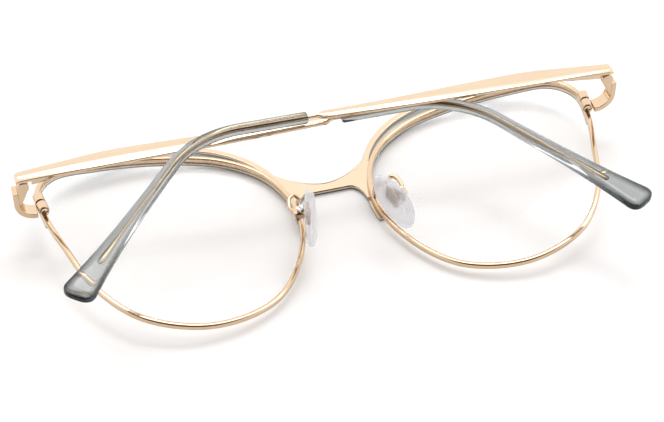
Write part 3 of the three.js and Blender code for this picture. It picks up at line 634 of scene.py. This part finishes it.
# A shank below the seat and a head above it, with the slot cut by a block.
screw_tree, screw_in, screw_end = geometry_group(
    "slotted screw", "Shank Radius", "Length", "Head Radius", "Head Height"
)
add = screw_tree.nodes.new
shank, head = add("GeometryNodeMeshCylinder"), add("GeometryNodeMeshCylinder")
blade, slot_size = add("GeometryNodeMeshCube"), add("ShaderNodeCombineXYZ")
cut, both = add("GeometryNodeMeshBoolean"), add("GeometryNodeJoinGeometry")
spread = add("GeometryNodeInstanceOnPoints")
cut.operation = "DIFFERENCE"
for turned in (shank, head):
    turned.inputs["Vertices"].default_value = SCREW_SIDES


def moved(shape, height):
    """A shape of the screw moved along its axis; the height is a socket."""
    spot = screw_tree.nodes.new("ShaderNodeCombineXYZ")
    move = screw_tree.nodes.new("GeometryNodeTransform")
    screw_tree.links.new(height, spot.inputs["Z"])
    connect(screw_tree, (shape, "Mesh", move, "Geometry"), (spot, "Vector", move, "Translation"))
    return move


low_shank = moved(shank, math_step(screw_tree, "DIVIDE", screw_in.outputs["Length"], -2.0))
high_head = moved(head, math_step(screw_tree, "DIVIDE", screw_in.outputs["Head Height"], 2.0))
high_slot = moved(blade, screw_in.outputs["Head Height"])
for label, share in (("X", SLOT_LENGTH), ("Y", SLOT_WIDTH)):
    slot_side = math_step(screw_tree, "MULTIPLY", screw_in.outputs["Head Radius"], share)
    screw_tree.links.new(slot_side, slot_size.inputs[label])
connect(
    screw_tree,
    (screw_in, "Shank Radius", shank, "Radius"),
    (screw_in, "Length", shank, "Depth"),
    (screw_in, "Head Radius", head, "Radius"),
    (screw_in, "Head Height", head, "Depth"),
    (screw_in, "Head Height", slot_size, "Z"),
    (slot_size, "Vector", blade, "Size"),
    (high_head, "Geometry", cut, "Mesh 1"),
    (high_slot, "Geometry", cut, "Mesh 2"),
    (low_shank, "Geometry", both, "Geometry"),
    (cut, "Mesh", both, "Geometry"),
    (screw_in, "Geometry", spread, "Points"),
    (both, "Geometry", spread, "Instance"),
    (spread, "Instances", screw_end, "Geometry"),
)


def screw_piece(name, sign, seat, direction, length, radius, head_radius, turn, material):
    """A screw with its head on the seat, its shank running back from the direction it faces."""
    seat, direction = mirrored((seat, direction), sign)
    mesh = bpy.data.meshes.new(name + "_seat")
    mesh.from_pydata([(0, 0, 0)], [], [])
    sizes = {"Shank Radius": radius, "Length": length, "Head Radius": head_radius, "Head Height": HEAD_HEIGHT}
    piece = set_and_keep(name, mesh, screw_tree, material, sizes)
    facing = direction.to_track_quat("Z", "Y").to_matrix().to_4x4()
    facing.translation = seat * MM
    piece.data.transform(facing @ Matrix.Rotation(radians(turn), 4, "Z"))
    piece.data.update()
    return round_edges(piece, SCREW_EDGE, 2)


for side, sign in SIDES:
    reach = LOCK_GAP / 2 + LOCK_HALF
    seat = lock_frame @ Vector((0, -reach - SEAT, LOCK_RADIUS * LOCK_SINK))
    lock_screw = screw_piece(
        f"lock_screw_{side}", sign, seat, -lock_up, 2 * reach, LOCK_SCREW, LOCK_HEAD, 30, screw_gold
    )
    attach(lock_screw, "front")
    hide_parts(f"rim_lock_screw_{side}")

# End pieces
# Straps soldered to the rim locks' lower halves and bent back along the side of the head. A hinge leaf
# inside each strap carries the two outer knuckles.
STRAP_REACH = 5.4
STRAP_THICKNESS = 1.2
STRAP_BEND = 3.0
HINGE_BACK = 8.7
HINGE_HEIGHT = 3.1
KNUCKLE_RADIUS = 1.25
KNUCKLE_MIDDLE = 1.1
KNUCKLE_GAP = 0.1
SWING_GAP = 0.12
LEAF_LENGTH = 5.0
BAR_THICKNESS = 0.95
BUTT = 1.3
LEAF_SHY = 0.03
STRAP_ROOT = 0.8
STRAP_EDGE = 0.16
HINGE_SCREW_LENGTH = HINGE_HEIGHT + SEAT * 1.3
BLADE_INSIDE = KNUCKLE_RADIUS + SWING_GAP
STRAP_OUT = STRAP_BEND + STRAP_THICKNESS
strap_x = lock_seat.x + STRAP_REACH
hinge = Vector(
    (
        strap_x - BLADE_INSIDE - BAR_THICKNESS,
        lock_seat.y - LOCK_GAP / 2 - HINGE_HEIGHT / 2,
        lock_seat.z + HINGE_BACK,
    )
)
strap_low, strap_high = hinge.y - HINGE_HEIGHT / 2, hinge.y + HINGE_HEIGHT / 2


def risen(outline, low, high):
    """Corner points and faces of an outline drawn in X and Z, raised along Y."""
    return skin([[Vector((x, y, z)) for x, z in outline] for y in (low, high)])


def strap_outline():
    """The strap seen from above: from the rim lock round the bend and back."""
    bend_x, bend_z = strap_x - STRAP_OUT, lock_seat.z + STRAP_OUT
    top = hinge.z - BUTT - SWING_GAP
    start = lock_seat.x + LOCK_RADIUS * STRAP_ROOT
    steps = 20
    outline = [(start, lock_seat.z)]
    for k in range(steps + 1):
        turn = -pi / 2 * (1 - k / steps)
        outline.append((bend_x + STRAP_OUT * cos(turn), bend_z + STRAP_OUT * sin(turn)))
    outline += [(strap_x, top), (strap_x - STRAP_THICKNESS, top)]
    for k in range(steps + 1):
        turn = -pi / 2 * k / steps
        outline.append((bend_x + STRAP_BEND * cos(turn), bend_z + STRAP_BEND * sin(turn)))
    return outline + [(start, lock_seat.z + STRAP_THICKNESS)]


mouth = KNUCKLE_MIDDLE / 2 + KNUCKLE_GAP
leaf_inside = hinge.x + BLADE_INSIDE + BAR_THICKNESS - STRAP_THICKNESS + SEAT
leaf_start = Vector((hinge.x - KNUCKLE_RADIUS + SEAT, hinge.z))
leaf_knee = Vector((hinge.x - SEAT, hinge.z - LEAF_LENGTH * 0.6))
leaf_end = Vector((leaf_inside, hinge.z - LEAF_LENGTH))
leaf_outline = [bend_through(leaf_start, leaf_knee, leaf_end, k / 16) for k in range(17)]
leaf_outline.append(Vector((leaf_inside, hinge.z)))
pin_spot = Vector((hinge.x, hinge.z))
hollow_outline = [p for p in leaf_outline if (p - pin_spot).length > BLADE_INSIDE and p.y < hinge.z]
hollow_from = -acos((leaf_inside - hinge.x) / BLADE_INSIDE)
hollow_to = atan2(hollow_outline[0].y - hinge.z, hollow_outline[0].x - hinge.x)
for k in range(13):
    turn = hollow_from + (hollow_to - hollow_from) * k / 12
    hollow_outline.append(pin_spot + Vector((cos(turn), sin(turn))) * BLADE_INSIDE)
shells = [risen(strap_outline(), strap_low, strap_high)]
shells.append(risen(hollow_outline, hinge.y - mouth, hinge.y + mouth))
for low, high in ((strap_low, hinge.y - mouth), (hinge.y + mouth, strap_high)):
    knuckle_ends = ((low - hinge.y, KNUCKLE_RADIUS), (high - hinge.y, KNUCKLE_RADIUS))
    shells.append(turned_on(Matrix.Translation(hinge), knuckle_ends))
    shells.append(risen(leaf_outline, low + LEAF_SHY, high - LEAF_SHY))
for side, sign in SIDES:
    strap = new_piece(f"strap_{side}", shells, polished_gold, sign)
    round_edges(strap, STRAP_EDGE)
    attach(strap, "front")
    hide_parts(f"end_piece_{side}")
    seat = hinge + Vector((0, HINGE_HEIGHT / 2 + SEAT, 0))
    hinge_screw = screw_piece(
        f"hinge_pin_screw_{side}", sign, seat, Vector((0, 1, 0)), HINGE_SCREW_LENGTH, HINGE_SCREW,
        HINGE_HEAD, 20, screw_gold,
    )
    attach(hinge_screw, "front")
    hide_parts(f"hinge_screw_{side}")

# Temple bars
# Each bar is a leaf-shaped blade, domed outside and flat inside, with a thickened hinge end. It narrows
# to a neck and runs on as a round wire inside the tip, flattened at its end.
TEMPLE_LENGTH = 141.5
MITRE = 0.6
BAR_LENGTH = 66.0
NECK_LENGTH = 2.5
SLEEVE_STRAIGHT = 14.5
BEND_RADIUS = 21.0
TIP_SOLID = 9.5
CORE_FLAT = 10.0
CORE_WIDTH = 0.7
CORE_TIP_WIDTH = 1.4
CORE_TIP_THICKNESS = 0.75
BAR_LEAF_HEIGHT = 4.6
BAR_LEAF_AT = 18.0
BAR_NECK_HEIGHT = 2.4
BOW_RADIUS = 3300.0
WEDGE_START = 1.9
WEDGE_LENGTH = 11.0
WEDGE_DEPTH = 0.95
WEB_BACK = 0.4
WEB_AHEAD = 0.9
WEDGE_SQUARE = 9
WEDGE_SIDES = 32
BLADE_WALL = 0.24
BLADE_EASE = 0.16
BLADE_DOME = 1.6
BLADE_STEPS = 16
MITRE_WIDTH = 0.94
MITRE_DROP = 0.6
CORE_SIDES = 28
BAR_EDGE = 0.16
SLEEVE_START = BAR_LENGTH + NECK_LENGTH
BEND_AT = SLEEVE_START + SLEEVE_STRAIGHT
CORE_END = TEMPLE_LENGTH - TIP_SOLID

# In degrees: the bend behind the ear, the lift off the front and the slack of the hinge.
TEMPLE_SET = {"right": (50.6, 2.6, -0.5), "left": (57.5, 0.4, 0.5)}
temple_metal = plated("satin gold temple", SATIN_LIGHT, SATIN_DEEP, 0.09, 0.14, 800.0)


def temple_place(along, bend):
    """The temple's centre line and its upward direction, this far from the hinge."""
    arc = BEND_RADIUS * radians(bend)
    turn = min(max(along - BEND_AT, 0), arc) / BEND_RADIUS
    rest = max(along - BEND_AT - arc, 0)
    run = min(along, BEND_AT) + BEND_RADIUS * sin(turn) + rest * cos(turn)
    drop = BEND_RADIUS * (1 - cos(turn)) + rest * sin(turn)
    middle = BLADE_INSIDE + BAR_THICKNESS / 2 - along * along / (2 * BOW_RADIUS)
    return Vector((-run, -drop, middle)), Vector((-sin(turn), cos(turn), 0))


def temple_ring(along, bend, outline, rise=0.0):
    """A cross section, given across and outwards, set on the centre line."""
    centre, across = temple_place(along, bend)
    return [centre + across * (v + rise) + Vector((0, 0, w)) for v, w in outline]


def oval(width, thickness, power, count):
    """A rounded section: an ellipse at power 2, squarer as the power grows."""
    outline = []
    for k in range(count):
        turn = 2 * pi * k / count
        c, s = cos(turn), sin(turn)
        v = copysign(abs(c) ** (2 / power), c) * width / 2
        w = copysign(abs(s) ** (2 / power), s) * thickness / 2
        outline.append((v, w))
    return outline


def blade_section(width, thickness):
    """Flat inside, low side walls and a domed outside."""
    half, inner = width / 2, -thickness / 2
    wall, ease = thickness * BLADE_WALL, thickness * BLADE_EASE
    outline = [(half - ease, inner), (half, inner + ease)]
    for k in range(BLADE_STEPS + 1):
        v = 1 - 2 * k / BLADE_STEPS
        outline.append((half * v, wall + (thickness / 2 - wall) * (1 - abs(v) ** BLADE_DOME)))
    return outline + [(-half, inner + ease), (-half + ease, inner)]


leaf_rise = (BAR_LEAF_HEIGHT - HINGE_HEIGHT) / 2
blade_stops = [
    (MITRE - BUTT, HINGE_HEIGHT, 0.0),
    (BAR_LEAF_AT * 0.5, (HINGE_HEIGHT + BAR_LEAF_HEIGHT) / 2, leaf_rise * 0.6),
    (BAR_LEAF_AT, BAR_LEAF_HEIGHT, leaf_rise),
    (BAR_LEAF_AT * 0.6 + BAR_LENGTH * 0.4, (2 * BAR_LEAF_HEIGHT + BAR_NECK_HEIGHT) / 3, leaf_rise * 0.4),
    (BAR_LEAF_AT * 0.3 + BAR_LENGTH * 0.7, (BAR_LEAF_HEIGHT + 3 * BAR_NECK_HEIGHT) / 4, 0.0),
    (BAR_LENGTH - NECK_LENGTH * 0.8, BAR_NECK_HEIGHT, 0.0),
]
blade_line = smooth_line([Vector(stop) for stop in blade_stops], False, 14)


def bend_stops(bend):
    arc = BEND_RADIUS * radians(bend)
    return [BEND_AT + arc * k / 24 for k in range(25)]


def core_sections(bend):
    """Stations of the round wire inside the tip: distance, width and thickness."""
    runs = [BAR_LENGTH + NECK_LENGTH * 0.5, SLEEVE_START, *bend_stops(bend)]
    stations = [(along, CORE_WIDTH, CORE_WIDTH) for along in runs]
    for share in (0, 0.25, 0.5, 0.75, 1):
        ease = share * share * (3 - 2 * share)
        width = CORE_WIDTH + (CORE_TIP_WIDTH - CORE_WIDTH) * ease
        thickness = CORE_WIDTH + (CORE_TIP_THICKNESS - CORE_WIDTH) * ease
        stations.append((CORE_END - CORE_FLAT * (1 - 0.7 * share), width, thickness))
    for back, wide, thick in ((1, 1, 1), (0.3, 0.8, 0.8), (0, 0.4, 0.6)):
        stations.append((CORE_END - back, CORE_TIP_WIDTH * wide, CORE_TIP_THICKNESS * thick))
    return stations


def bar_shells(bend):
    """The blade, the wire it runs on as, the wedge under its hinge end, the knuckle and its web."""
    mitre = BAR_THICKNESS / 2 - BAR_THICKNESS * MITRE_DROP
    first = blade_section(HINGE_HEIGHT * MITRE_WIDTH, BAR_THICKNESS)
    blade = [temple_ring(-BUTT, bend, [(v, min(w, mitre)) for v, w in first])]
    for along, width, rise in blade_line:
        blade.append(temple_ring(along, bend, blade_section(width, BAR_THICKNESS), rise))
    for past, width, share in (
        (-0.4, BAR_NECK_HEIGHT * 0.95, 1), (0, CORE_WIDTH, 0.9), (0.3, CORE_WIDTH * 0.8, 0.8)
    ):
        outline = blade_section(width, BAR_THICKNESS * share)
        blade.append(temple_ring(BAR_LENGTH + NECK_LENGTH * past, bend, outline))
    root = oval(CORE_WIDTH * 0.9, BAR_THICKNESS * 0.8, 2, CORE_SIDES)
    core = [temple_ring(BAR_LENGTH - NECK_LENGTH, bend, root)]
    for along, width, thickness in core_sections(bend):
        core.append(temple_ring(along, bend, oval(width, thickness, 2, CORE_SIDES)))
    wedge = []
    for share in (0, 0.25, 0.5, 0.75, 1):
        depth = BAR_THICKNESS / 2 + WEDGE_DEPTH * (1 - share) - 2 * SEAT * share
        along = WEDGE_START + WEDGE_LENGTH * share
        leaf = along / BAR_LEAF_AT
        width = HINGE_HEIGHT + (BAR_LEAF_HEIGHT - HINGE_HEIGHT) * leaf - 2 * SEAT
        outline = [(v, w - depth / 2) for v, w in oval(width, depth, WEDGE_SQUARE, WEDGE_SIDES)]
        wedge.append(temple_ring(along, bend, outline, leaf_rise * leaf))
    half = KNUCKLE_MIDDLE / 2
    knuckle = turned_on(Matrix.Identity(4), ((-half, KNUCKLE_RADIUS), (half, KNUCKLE_RADIUS)))
    web_top = BLADE_INSIDE + BAR_THICKNESS / 2
    web = [(-WEB_AHEAD, 0), (WEB_BACK, 0), (WEB_BACK, web_top), (-WEB_AHEAD, web_top)]
    return [skin(blade), skin(core), skin(wedge), knuckle, risen(web, -half, half)]


def hung(shells, side, sign):
    """Shells drawn for a right temple, put on its own side and folded over the front."""
    _, lift, slack = TEMPLE_SET[side]
    swing = Matrix.Rotation(radians(sign * lift), 4, "Y")
    swing = swing @ Matrix.Rotation(radians(-sign * slack), 4, "Z")
    place = Matrix.Translation(mirrored([hinge], sign)[0]) @ swing
    return [([place @ point for point in mirrored(corners, sign)], faces) for corners, faces in shells]


for side, sign in SIDES:
    bend = TEMPLE_SET[side][0]
    bar = new_piece(f"temple_blade_{side}", hung(bar_shells(bend), side, sign), temple_metal)
    round_edges(bar, BAR_EDGE, 4, 50)
    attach(bar, f"temple_{side}")
    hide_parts(f"temple_bar_{side}")

# Temple tips
# Translucent grey sleeves, moulded and polished, pushed over the bars' wires and widened to a rounded
# paddle behind the ear.
SLEEVE_WIDTH = 2.6
SLEEVE_THICKNESS = 2.4
TIP_WIDTH = 7.3
TIP_THICKNESS = 2.0
SLEEVE_LIP = 0.86
SLEEVE_SIDES = 64
PADDLE_ROUND = 2.6
sleeve_grey, sleeve_shader = new_material(
    "translucent grey sleeve", {"Roughness": 0.05, "IOR": 1.38, "Transmission Weight": 1.0}
)


def turned_away(tree, near, far, least, most):
    """A value that grows from least to most as the surface turns away from the eye."""
    facing, share = tree.nodes.new("ShaderNodeLayerWeight"), tree.nodes.new("ShaderNodeMapRange")
    set_inputs(facing, {"Blend": 0.5})
    set_inputs(share, {"From Min": near, "From Max": far, "To Min": least, "To Max": most})
    connect(tree, (facing, "Facing", share, "Value"))
    return share.outputs["Result"]


# Painted shade: the base colour darkens towards the sleeve's edges and where the surface turns away from
# the eye, standing in for the shade the plastic shows where the light runs through more of it.
sleeve_tree = sleeve_grey.node_tree
add = sleeve_tree.nodes.new
sleeve_shade, sleeve_shaded_tone = add("ShaderNodeAttribute"), add("ShaderNodeValToRGB")
sleeve_shade.attribute_name = "shade"
# Pale grey where there is no painted shade, near black where it is full.
pale, dark = sleeve_shaded_tone.color_ramp.elements
pale.position, pale.color = 0.56, (0.4, 0.42, 0.42, 1)
dark.position, dark.color = 0.88, (0.02, 0.028, 0.032, 1)
sleeve_turned_shade = turned_away(sleeve_tree, 0.45, 0.82, 0.5, 0.95)
sleeve_painted_shade = math_step(sleeve_tree, "MAXIMUM", sleeve_shade.outputs["Fac"], sleeve_turned_shade)
sleeve_tree.links.new(sleeve_painted_shade, sleeve_shaded_tone.inputs["Fac"])
connect(sleeve_tree, (sleeve_shaded_tone, "Color", sleeve_shader, "Base Color"))


def tip_shell(bend):
    """The sleeve's shell and the painted shade of each corner, which grows towards its edges."""
    nose = TIP_WIDTH * 0.4
    paddle = TEMPLE_LENGTH - nose
    along_stops = [SLEEVE_START + run for run in (0, 0.25, 4, 9)] + bend_stops(bend)
    last = along_stops[-1]
    along_stops += [last + (paddle - last) * k / 14 for k in range(1, 15)]
    nose_shares = (0.15, 0.3, 0.45, 0.6, 0.72, 0.82, 0.9, 0.95, 0.98, 0.995)
    along_stops += [paddle + nose * share for share in nose_shares]
    rings, shade = [], []
    for along in along_stops:
        swell = (max(along - BEND_AT, 0) / (TEMPLE_LENGTH - BEND_AT)) ** 4
        past = max(along - paddle, 0) / nose
        end = (1 - past**PADDLE_ROUND) ** (1 / PADDLE_ROUND)
        lip = SLEEVE_LIP if along == SLEEVE_START else 1
        width = (SLEEVE_WIDTH + (TIP_WIDTH - SLEEVE_WIDTH) * swell) * end * lip
        thickness = SLEEVE_THICKNESS + (TIP_THICKNESS - SLEEVE_THICKNESS) * swell
        thickness = thickness * (0.2 + 0.8 * end) * lip
        wide = (width / end / lip - SLEEVE_WIDTH) / (TIP_WIDTH - SLEEVE_WIDTH)
        outline = oval(width, thickness, 2.3 + 2.2 * wide**0.5, SLEEVE_SIDES)
        rings.append(temple_ring(along, bend, outline))
        # Painted shade: darker towards the sleeve's sides, more so on the wide paddle, and towards its
        # rounded end.
        shade += [max(2 * abs(v) / width * (0.5 + 0.5 * wide**0.5), past) for v, _ in outline]
    return skin(rings), shade


for side, sign in SIDES:
    bend = TEMPLE_SET[side][0]
    shell, shade = tip_shell(bend)
    tip = new_piece(f"temple_sleeve_{side}", hung([shell], side, sign), sleeve_grey, shade=shade)
    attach(tip, f"temple_{side}")
    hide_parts(f"temple_tip_{side}")

# Pad arms
# Bent gold wires soldered to the back of the eyewires beside the nose. Each one rises, hooks over and
# ends on a corner of the box that carries the nose pad.
PAD_OUT = 0.5
PAD_BELOW = 9.6
PAD_BACK = 11.3
PAD_SLANT = 15.0
PAD_SPLAY = 8.0
PAD_ARM_AT = 176
INSERT_UP = 1.1
ARM_RADIUS = 0.45
ARM_LOOP = 1.05
ARM_LOOP_UP = 4.7
POST_WIDTH = 1.0
POST_HEIGHT = 1.6
BOX_WALL = 0.6
BOX_HEIGHT = 2.5
BOX_BACK = 0.5
BOX_ROUND = 0.7
PAD_SCREW_BACK = 1.2
ARM_PASSES = 24
slant, splay = radians(PAD_SLANT), radians(PAD_SPLAY)
pad_facing = Vector((-cos(splay) * cos(slant), -cos(splay) * sin(slant), sin(splay)))
pad_up = Vector((-sin(slant), cos(slant), 0))
pad_frame = Matrix((pad_up.cross(pad_facing), pad_up, pad_facing)).transposed().to_4x4()
pad_frame.translation = Vector((NOSE_GAP / 2 + PAD_OUT, RISE - PAD_BELOW, PAD_BACK))
seat_frame = pad_frame @ Matrix.Translation((0, INSERT_UP, 0))
box_width = POST_WIDTH + 4 * SEAT + 2 * BOX_WALL
box_end = PAD_SCREW_BACK + POST_HEIGHT / 2 + 2 * SEAT + BOX_BACK


def hook(back, up, inward):
    """A point of the arm's hook, in shares of its radius from its middle."""
    return seat_frame @ Vector((back * ARM_LOOP, ARM_LOOP_UP + up * ARM_LOOP, inward * ARM_LOOP - box_end))


def on_corner(clear):
    """A point off the box's rounded corner, this far clear of it."""
    reach = (BOX_ROUND + clear) * sqrt(0.5) - BOX_ROUND
    return seat_frame @ Vector((0, BOX_HEIGHT / 2 + reach, -box_end - reach))


root = on_front(edge(PAD_ARM_AT, RIM_WIDTH / 2), RIM_BACK + SEAT)
elbow = hook(-0.5, 0.3, 1)
low = root + Vector((0, 0, (elbow.z - root.z) * 0.25))
bent = low.lerp(elbow, 0.55) + Vector((0, ARM_RADIUS, 0))
arm_stops = [root, low, bent, elbow, hook(0.2, 1, 0), hook(0.4, 0, -0.9), hook(0.2, -1.4, -0.95)]
arm_stops += [on_corner(SEAT + 3 * ARM_RADIUS), on_corner(SEAT)]
arm_line = smooth_line(arm_stops, False, 14)
for _ in range(ARM_PASSES):
    eased = [(a + b * 2 + c) / 4 for a, b, c in zip(arm_line, arm_line[1:], arm_line[2:])]
    arm_line = [arm_line[0], *eased, arm_line[-1]]
arm_width = 2 * ARM_RADIUS
for side, sign in SIDES:
    arm = wire_piece(
        f"arm_wire_{side}", mirrored(arm_line, sign), arm_width, arm_width, ARM_RADIUS * 0.98, polished_gold
    )
    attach(arm, "front")
    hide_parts(f"pad_arm_{side}")

# Pad boxes, inserts and screws
# A drilled gold cup on the end of each pad arm holds the post of the pad's bronze insert on a small
# steel screw, so that the pad can rock. The insert's plate is a ladder of bars.
INSERT_LENGTH = 4.4
INSERT_WIDTH = 2.6
INSERT_THICKNESS = 0.6
INSERT_BAR = 0.6
INSERT_EDGE = 0.08
RUNG_SHORT = 0.4
RUNG_SHY = 0.05
BOX_EDGE = 0.12
insert_bronze = plated("pad insert", (0.42, 0.31, 0.2), (0.3, 0.21, 0.13), 0.12, 0.2, 1200.0)


def block(x, y, width, length, low, high):
    """A bar of the pad's insert, drawn about the middle of its plate."""
    corners = ((-1, -1), (1, -1), (1, 1), (-1, 1))
    outline = [(x + a * width / 2, y + b * length / 2) for a, b in corners]
    return skin([[seat_frame @ Vector((u, v, z)) for u, v in outline] for z in (low, high)])


post_end = -PAD_SCREW_BACK - POST_HEIGHT / 2
insert_shells = [block(0, 0, POST_WIDTH, POST_HEIGHT, post_end, INSERT_THICKNESS / 2)]
for rail in (-1, 1):
    rail_x = rail * (INSERT_WIDTH - INSERT_BAR) / 2
    insert_shells.append(block(rail_x, 0, INSERT_BAR, INSERT_LENGTH, 0, INSERT_THICKNESS))
for rung in (-0.5, -1 / 6, 1 / 6, 0.5):
    rung_y = rung * (INSERT_LENGTH - INSERT_BAR)
    rung_width = INSERT_WIDTH - RUNG_SHORT
    insert_shells.append(block(0, rung_y, rung_width, INSERT_BAR, RUNG_SHY, INSERT_THICKNESS - RUNG_SHY))


def softened(node, name, width, material):
    """A copy of a CAD node, merged, with its edges broken."""
    merged = bmesh.new()
    merged.from_mesh(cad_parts[node].data)
    bmesh.ops.remove_doubles(merged, verts=merged.verts, dist=MERGE_WITHIN / 2 * MM)
    bmesh.ops.dissolve_limit(merged, angle_limit=radians(2), verts=merged.verts, edges=merged.edges)
    return round_edges(finished(name, merged, material), width, 2, 50)


for side, sign in SIDES:
    box = softened(f"pad_box_{side}", f"pad_cup_{side}", BOX_EDGE, polished_gold)
    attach(box, "front")
    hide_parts(f"pad_box_{side}")
    insert = new_piece(f"pad_plate_{side}", insert_shells, insert_bronze, sign)
    round_edges(insert, INSERT_EDGE, 2)
    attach(insert, f"nose_pad_{side}")
    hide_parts(f"pad_insert_{side}")
    seat = seat_frame @ Vector((box_width / 2 + SEAT, 0, -PAD_SCREW_BACK))
    facing = pad_frame.to_3x3().col[0]
    pad_screw = screw_piece(
        f"pad_pin_screw_{side}", sign, seat, facing, box_width + SEAT, PAD_SCREW, PAD_SCREW_HEAD, 40,
        screw_steel,
    )
    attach(pad_screw, "front")
    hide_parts(f"pad_screw_{side}")

# Nose pads
# Soft teardrops of clear silicone, moulded round the metal inserts, rounded towards the nose and a little
# cloudy.
PAD_LENGTH = 14.8
PAD_WIDTH = 8.0
PAD_THICKNESS = 1.9
DROP_STEPS = 28
silicone, silicone_shader = new_material(
    "clear silicone",
    {"Base Color": (0.74, 0.75, 0.79, 1), "Roughness": 0.14, "IOR": 1.41, "Transmission Weight": 0.3},
)

# Thin middles let more through than the thick edges.
silicone_depth = turned_away(silicone.node_tree, 0.25, 0.85, 0.36, 0.75)
silicone.node_tree.links.new(silicone_depth, silicone_shader.inputs["Alpha"])


def cubic(a, b, c, d, t):
    return a * (1 - t) ** 3 + b * (3 * t * (1 - t) ** 2) + c * (3 * t * t * (1 - t)) + d * t**3


half, low = PAD_WIDTH / 2, PAD_LENGTH / 2
shoulder, crown, hip = PAD_LENGTH * 0.36, PAD_LENGTH * 0.53, PAD_LENGTH * 0.1
drop = []
for a, b, c, d in (
    ((0, -low), (half * 1.3, -low), (half * 1.2, hip), (half * 0.62, shoulder)),
    ((half * 0.62, shoulder), (half * 0.42, crown), (-half * 0.42, crown), (-half * 0.62, shoulder)),
    ((-half * 0.62, shoulder), (-half * 1.2, hip), (-half * 1.3, -low), (0, -low)),
):
    knots = [Vector(knot) for knot in (a, b, c, d)]
    drop += [cubic(*knots, k / DROP_STEPS) for k in range(DROP_STEPS)]
layers = [(0.5, 0.0), (0.9, 0.0), (0.955, 0.05), (0.99, 0.16), (1.0, 0.3)]
for k in range(1, 15):
    turn = pi / 2 * k / 15
    layers.append((cos(turn) ** 0.36, 0.3 + 0.7 * sin(turn)))
pad_rings = []
for share, depth in layers:
    pad_rings.append([pad_frame @ Vector((p.x * share, p.y * share, PAD_THICKNESS * depth)) for p in drop])
for side, sign in SIDES:
    pad = new_piece(f"silicone_pad_{side}", [skin(pad_rings)], silicone, sign)
    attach(pad, f"nose_pad_{side}")
    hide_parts(f"nose_pad_{side}")

# Table
# A matt white sheet under the glasses, which takes their soft shadow.
TABLE_REACH = 3.0
TABLE_DROP = 0.03
table_white, _ = new_material(
    "matt white sheet", {"Base Color": (0.96, 0.96, 0.96, 1), "Roughness": 1.0, "Specular IOR Level": 0.0}
)
table_mesh = bpy.data.meshes.new("white_table")
table_sides = ((-1, -1), (1, -1), (1, 1), (-1, 1))
table_mesh.from_pydata(
    [(x * TABLE_REACH, y * TABLE_REACH, -TABLE_DROP * MM) for x, y in table_sides], [], [(0, 1, 2, 3)]
)
table_mesh.materials.append(table_white)
table = placed("white_table", table_mesh)

# Light
# A white room with a warm dark side behind the viewer, which draws the dark lines on the metal, a soft
# lamp overhead and a narrow one at the side.
DARK_SIDE = (-0.15, -0.75, 0.645)
ROOM_LEVEL = 1.5
world = bpy.data.worlds.new("white room")
bpy.context.scene.world = world
world.use_nodes = True
room = world.node_tree.nodes["Background"]
room.inputs["Strength"].default_value = ROOM_LEVEL
add = world.node_tree.nodes.new
direction, facing_dark = add("ShaderNodeTexCoord"), add("ShaderNodeVectorMath")
wall, rays, seen = add("ShaderNodeValToRGB"), add("ShaderNodeLightPath"), add("ShaderNodeMix")
facing_dark.operation = "DOT_PRODUCT"
facing_dark.inputs[1].default_value = DARK_SIDE
white, dark = wall.color_ramp.elements
white.position, white.color = 0.42, (1, 1, 1, 1)
dark.position, dark.color = 0.87, (0.11, 0.06, 0.035, 1)
for position, colour in ((0.6, (0.86, 0.86, 0.86, 1)), (0.76, (0.36, 0.33, 0.31, 1))):
    wall.color_ramp.elements.new(position).color = colour
seen.data_type = "RGBA"
seen.inputs[7].default_value = (1, 1, 1, 1)
connect(
    world.node_tree,
    (direction, "Generated", facing_dark, 0),
    (facing_dark, "Value", wall, "Fac"),
    (rays, "Is Camera Ray", seen, "Factor"),
    (wall, "Color", seen, 6),
    (seen, 2, room, "Color"),
)
for name, place, size, power in (
    ("broad lamp", (0.18, 0.45, 0.76), (0.5, 0.18), 1.5),
    ("side lamp", (0.7, -0.1, 0.5), (0.2, 0.7), 0.4),
):
    lamp = bpy.data.lights.new(name, "AREA")
    lamp.shape = "RECTANGLE"
    lamp.size, lamp.size_y = size
    lamp.energy = power
    holder = placed(name, lamp)
    holder.location = place
    holder.rotation_mode = "QUATERNION"
    holder.rotation_quaternion = Vector(place).to_track_quat("Z", "Y")

# Camera
# It looks down on the backs of the lenses from below the nose, as the photograph was taken.
CAMERA_AWAY = 357.802
CAMERA_ASIDE = -1.301
CAMERA_ABOVE = 0.208
CAMERA_SHIFT = Vector((0, 0.6 + RISE, 1.02))
right = Vector((0.9613, -0.2755, 0))
back = Vector((-0.2008, -0.7008, 0.6845))
up = Vector((0.1886, 0.658, 0.729))
view = bpy.data.cameras.new("camera")
view.sensor_fit = "HORIZONTAL"
view.sensor_width = 36
view.lens = 90.42
view.clip_start, view.clip_end = 0.01, 10
camera = placed("camera", view)
aim = Matrix((right.normalized(), up.normalized(), back.normalized())).transposed().to_4x4()
aim.translation = (back * CAMERA_AWAY + right * CAMERA_ASIDE + up * CAMERA_ABOVE + CAMERA_SHIFT) * MM
camera.matrix_world = aim
bpy.context.scene.camera = camera
bpy.context.scene.view_settings.view_transform = "Standard"
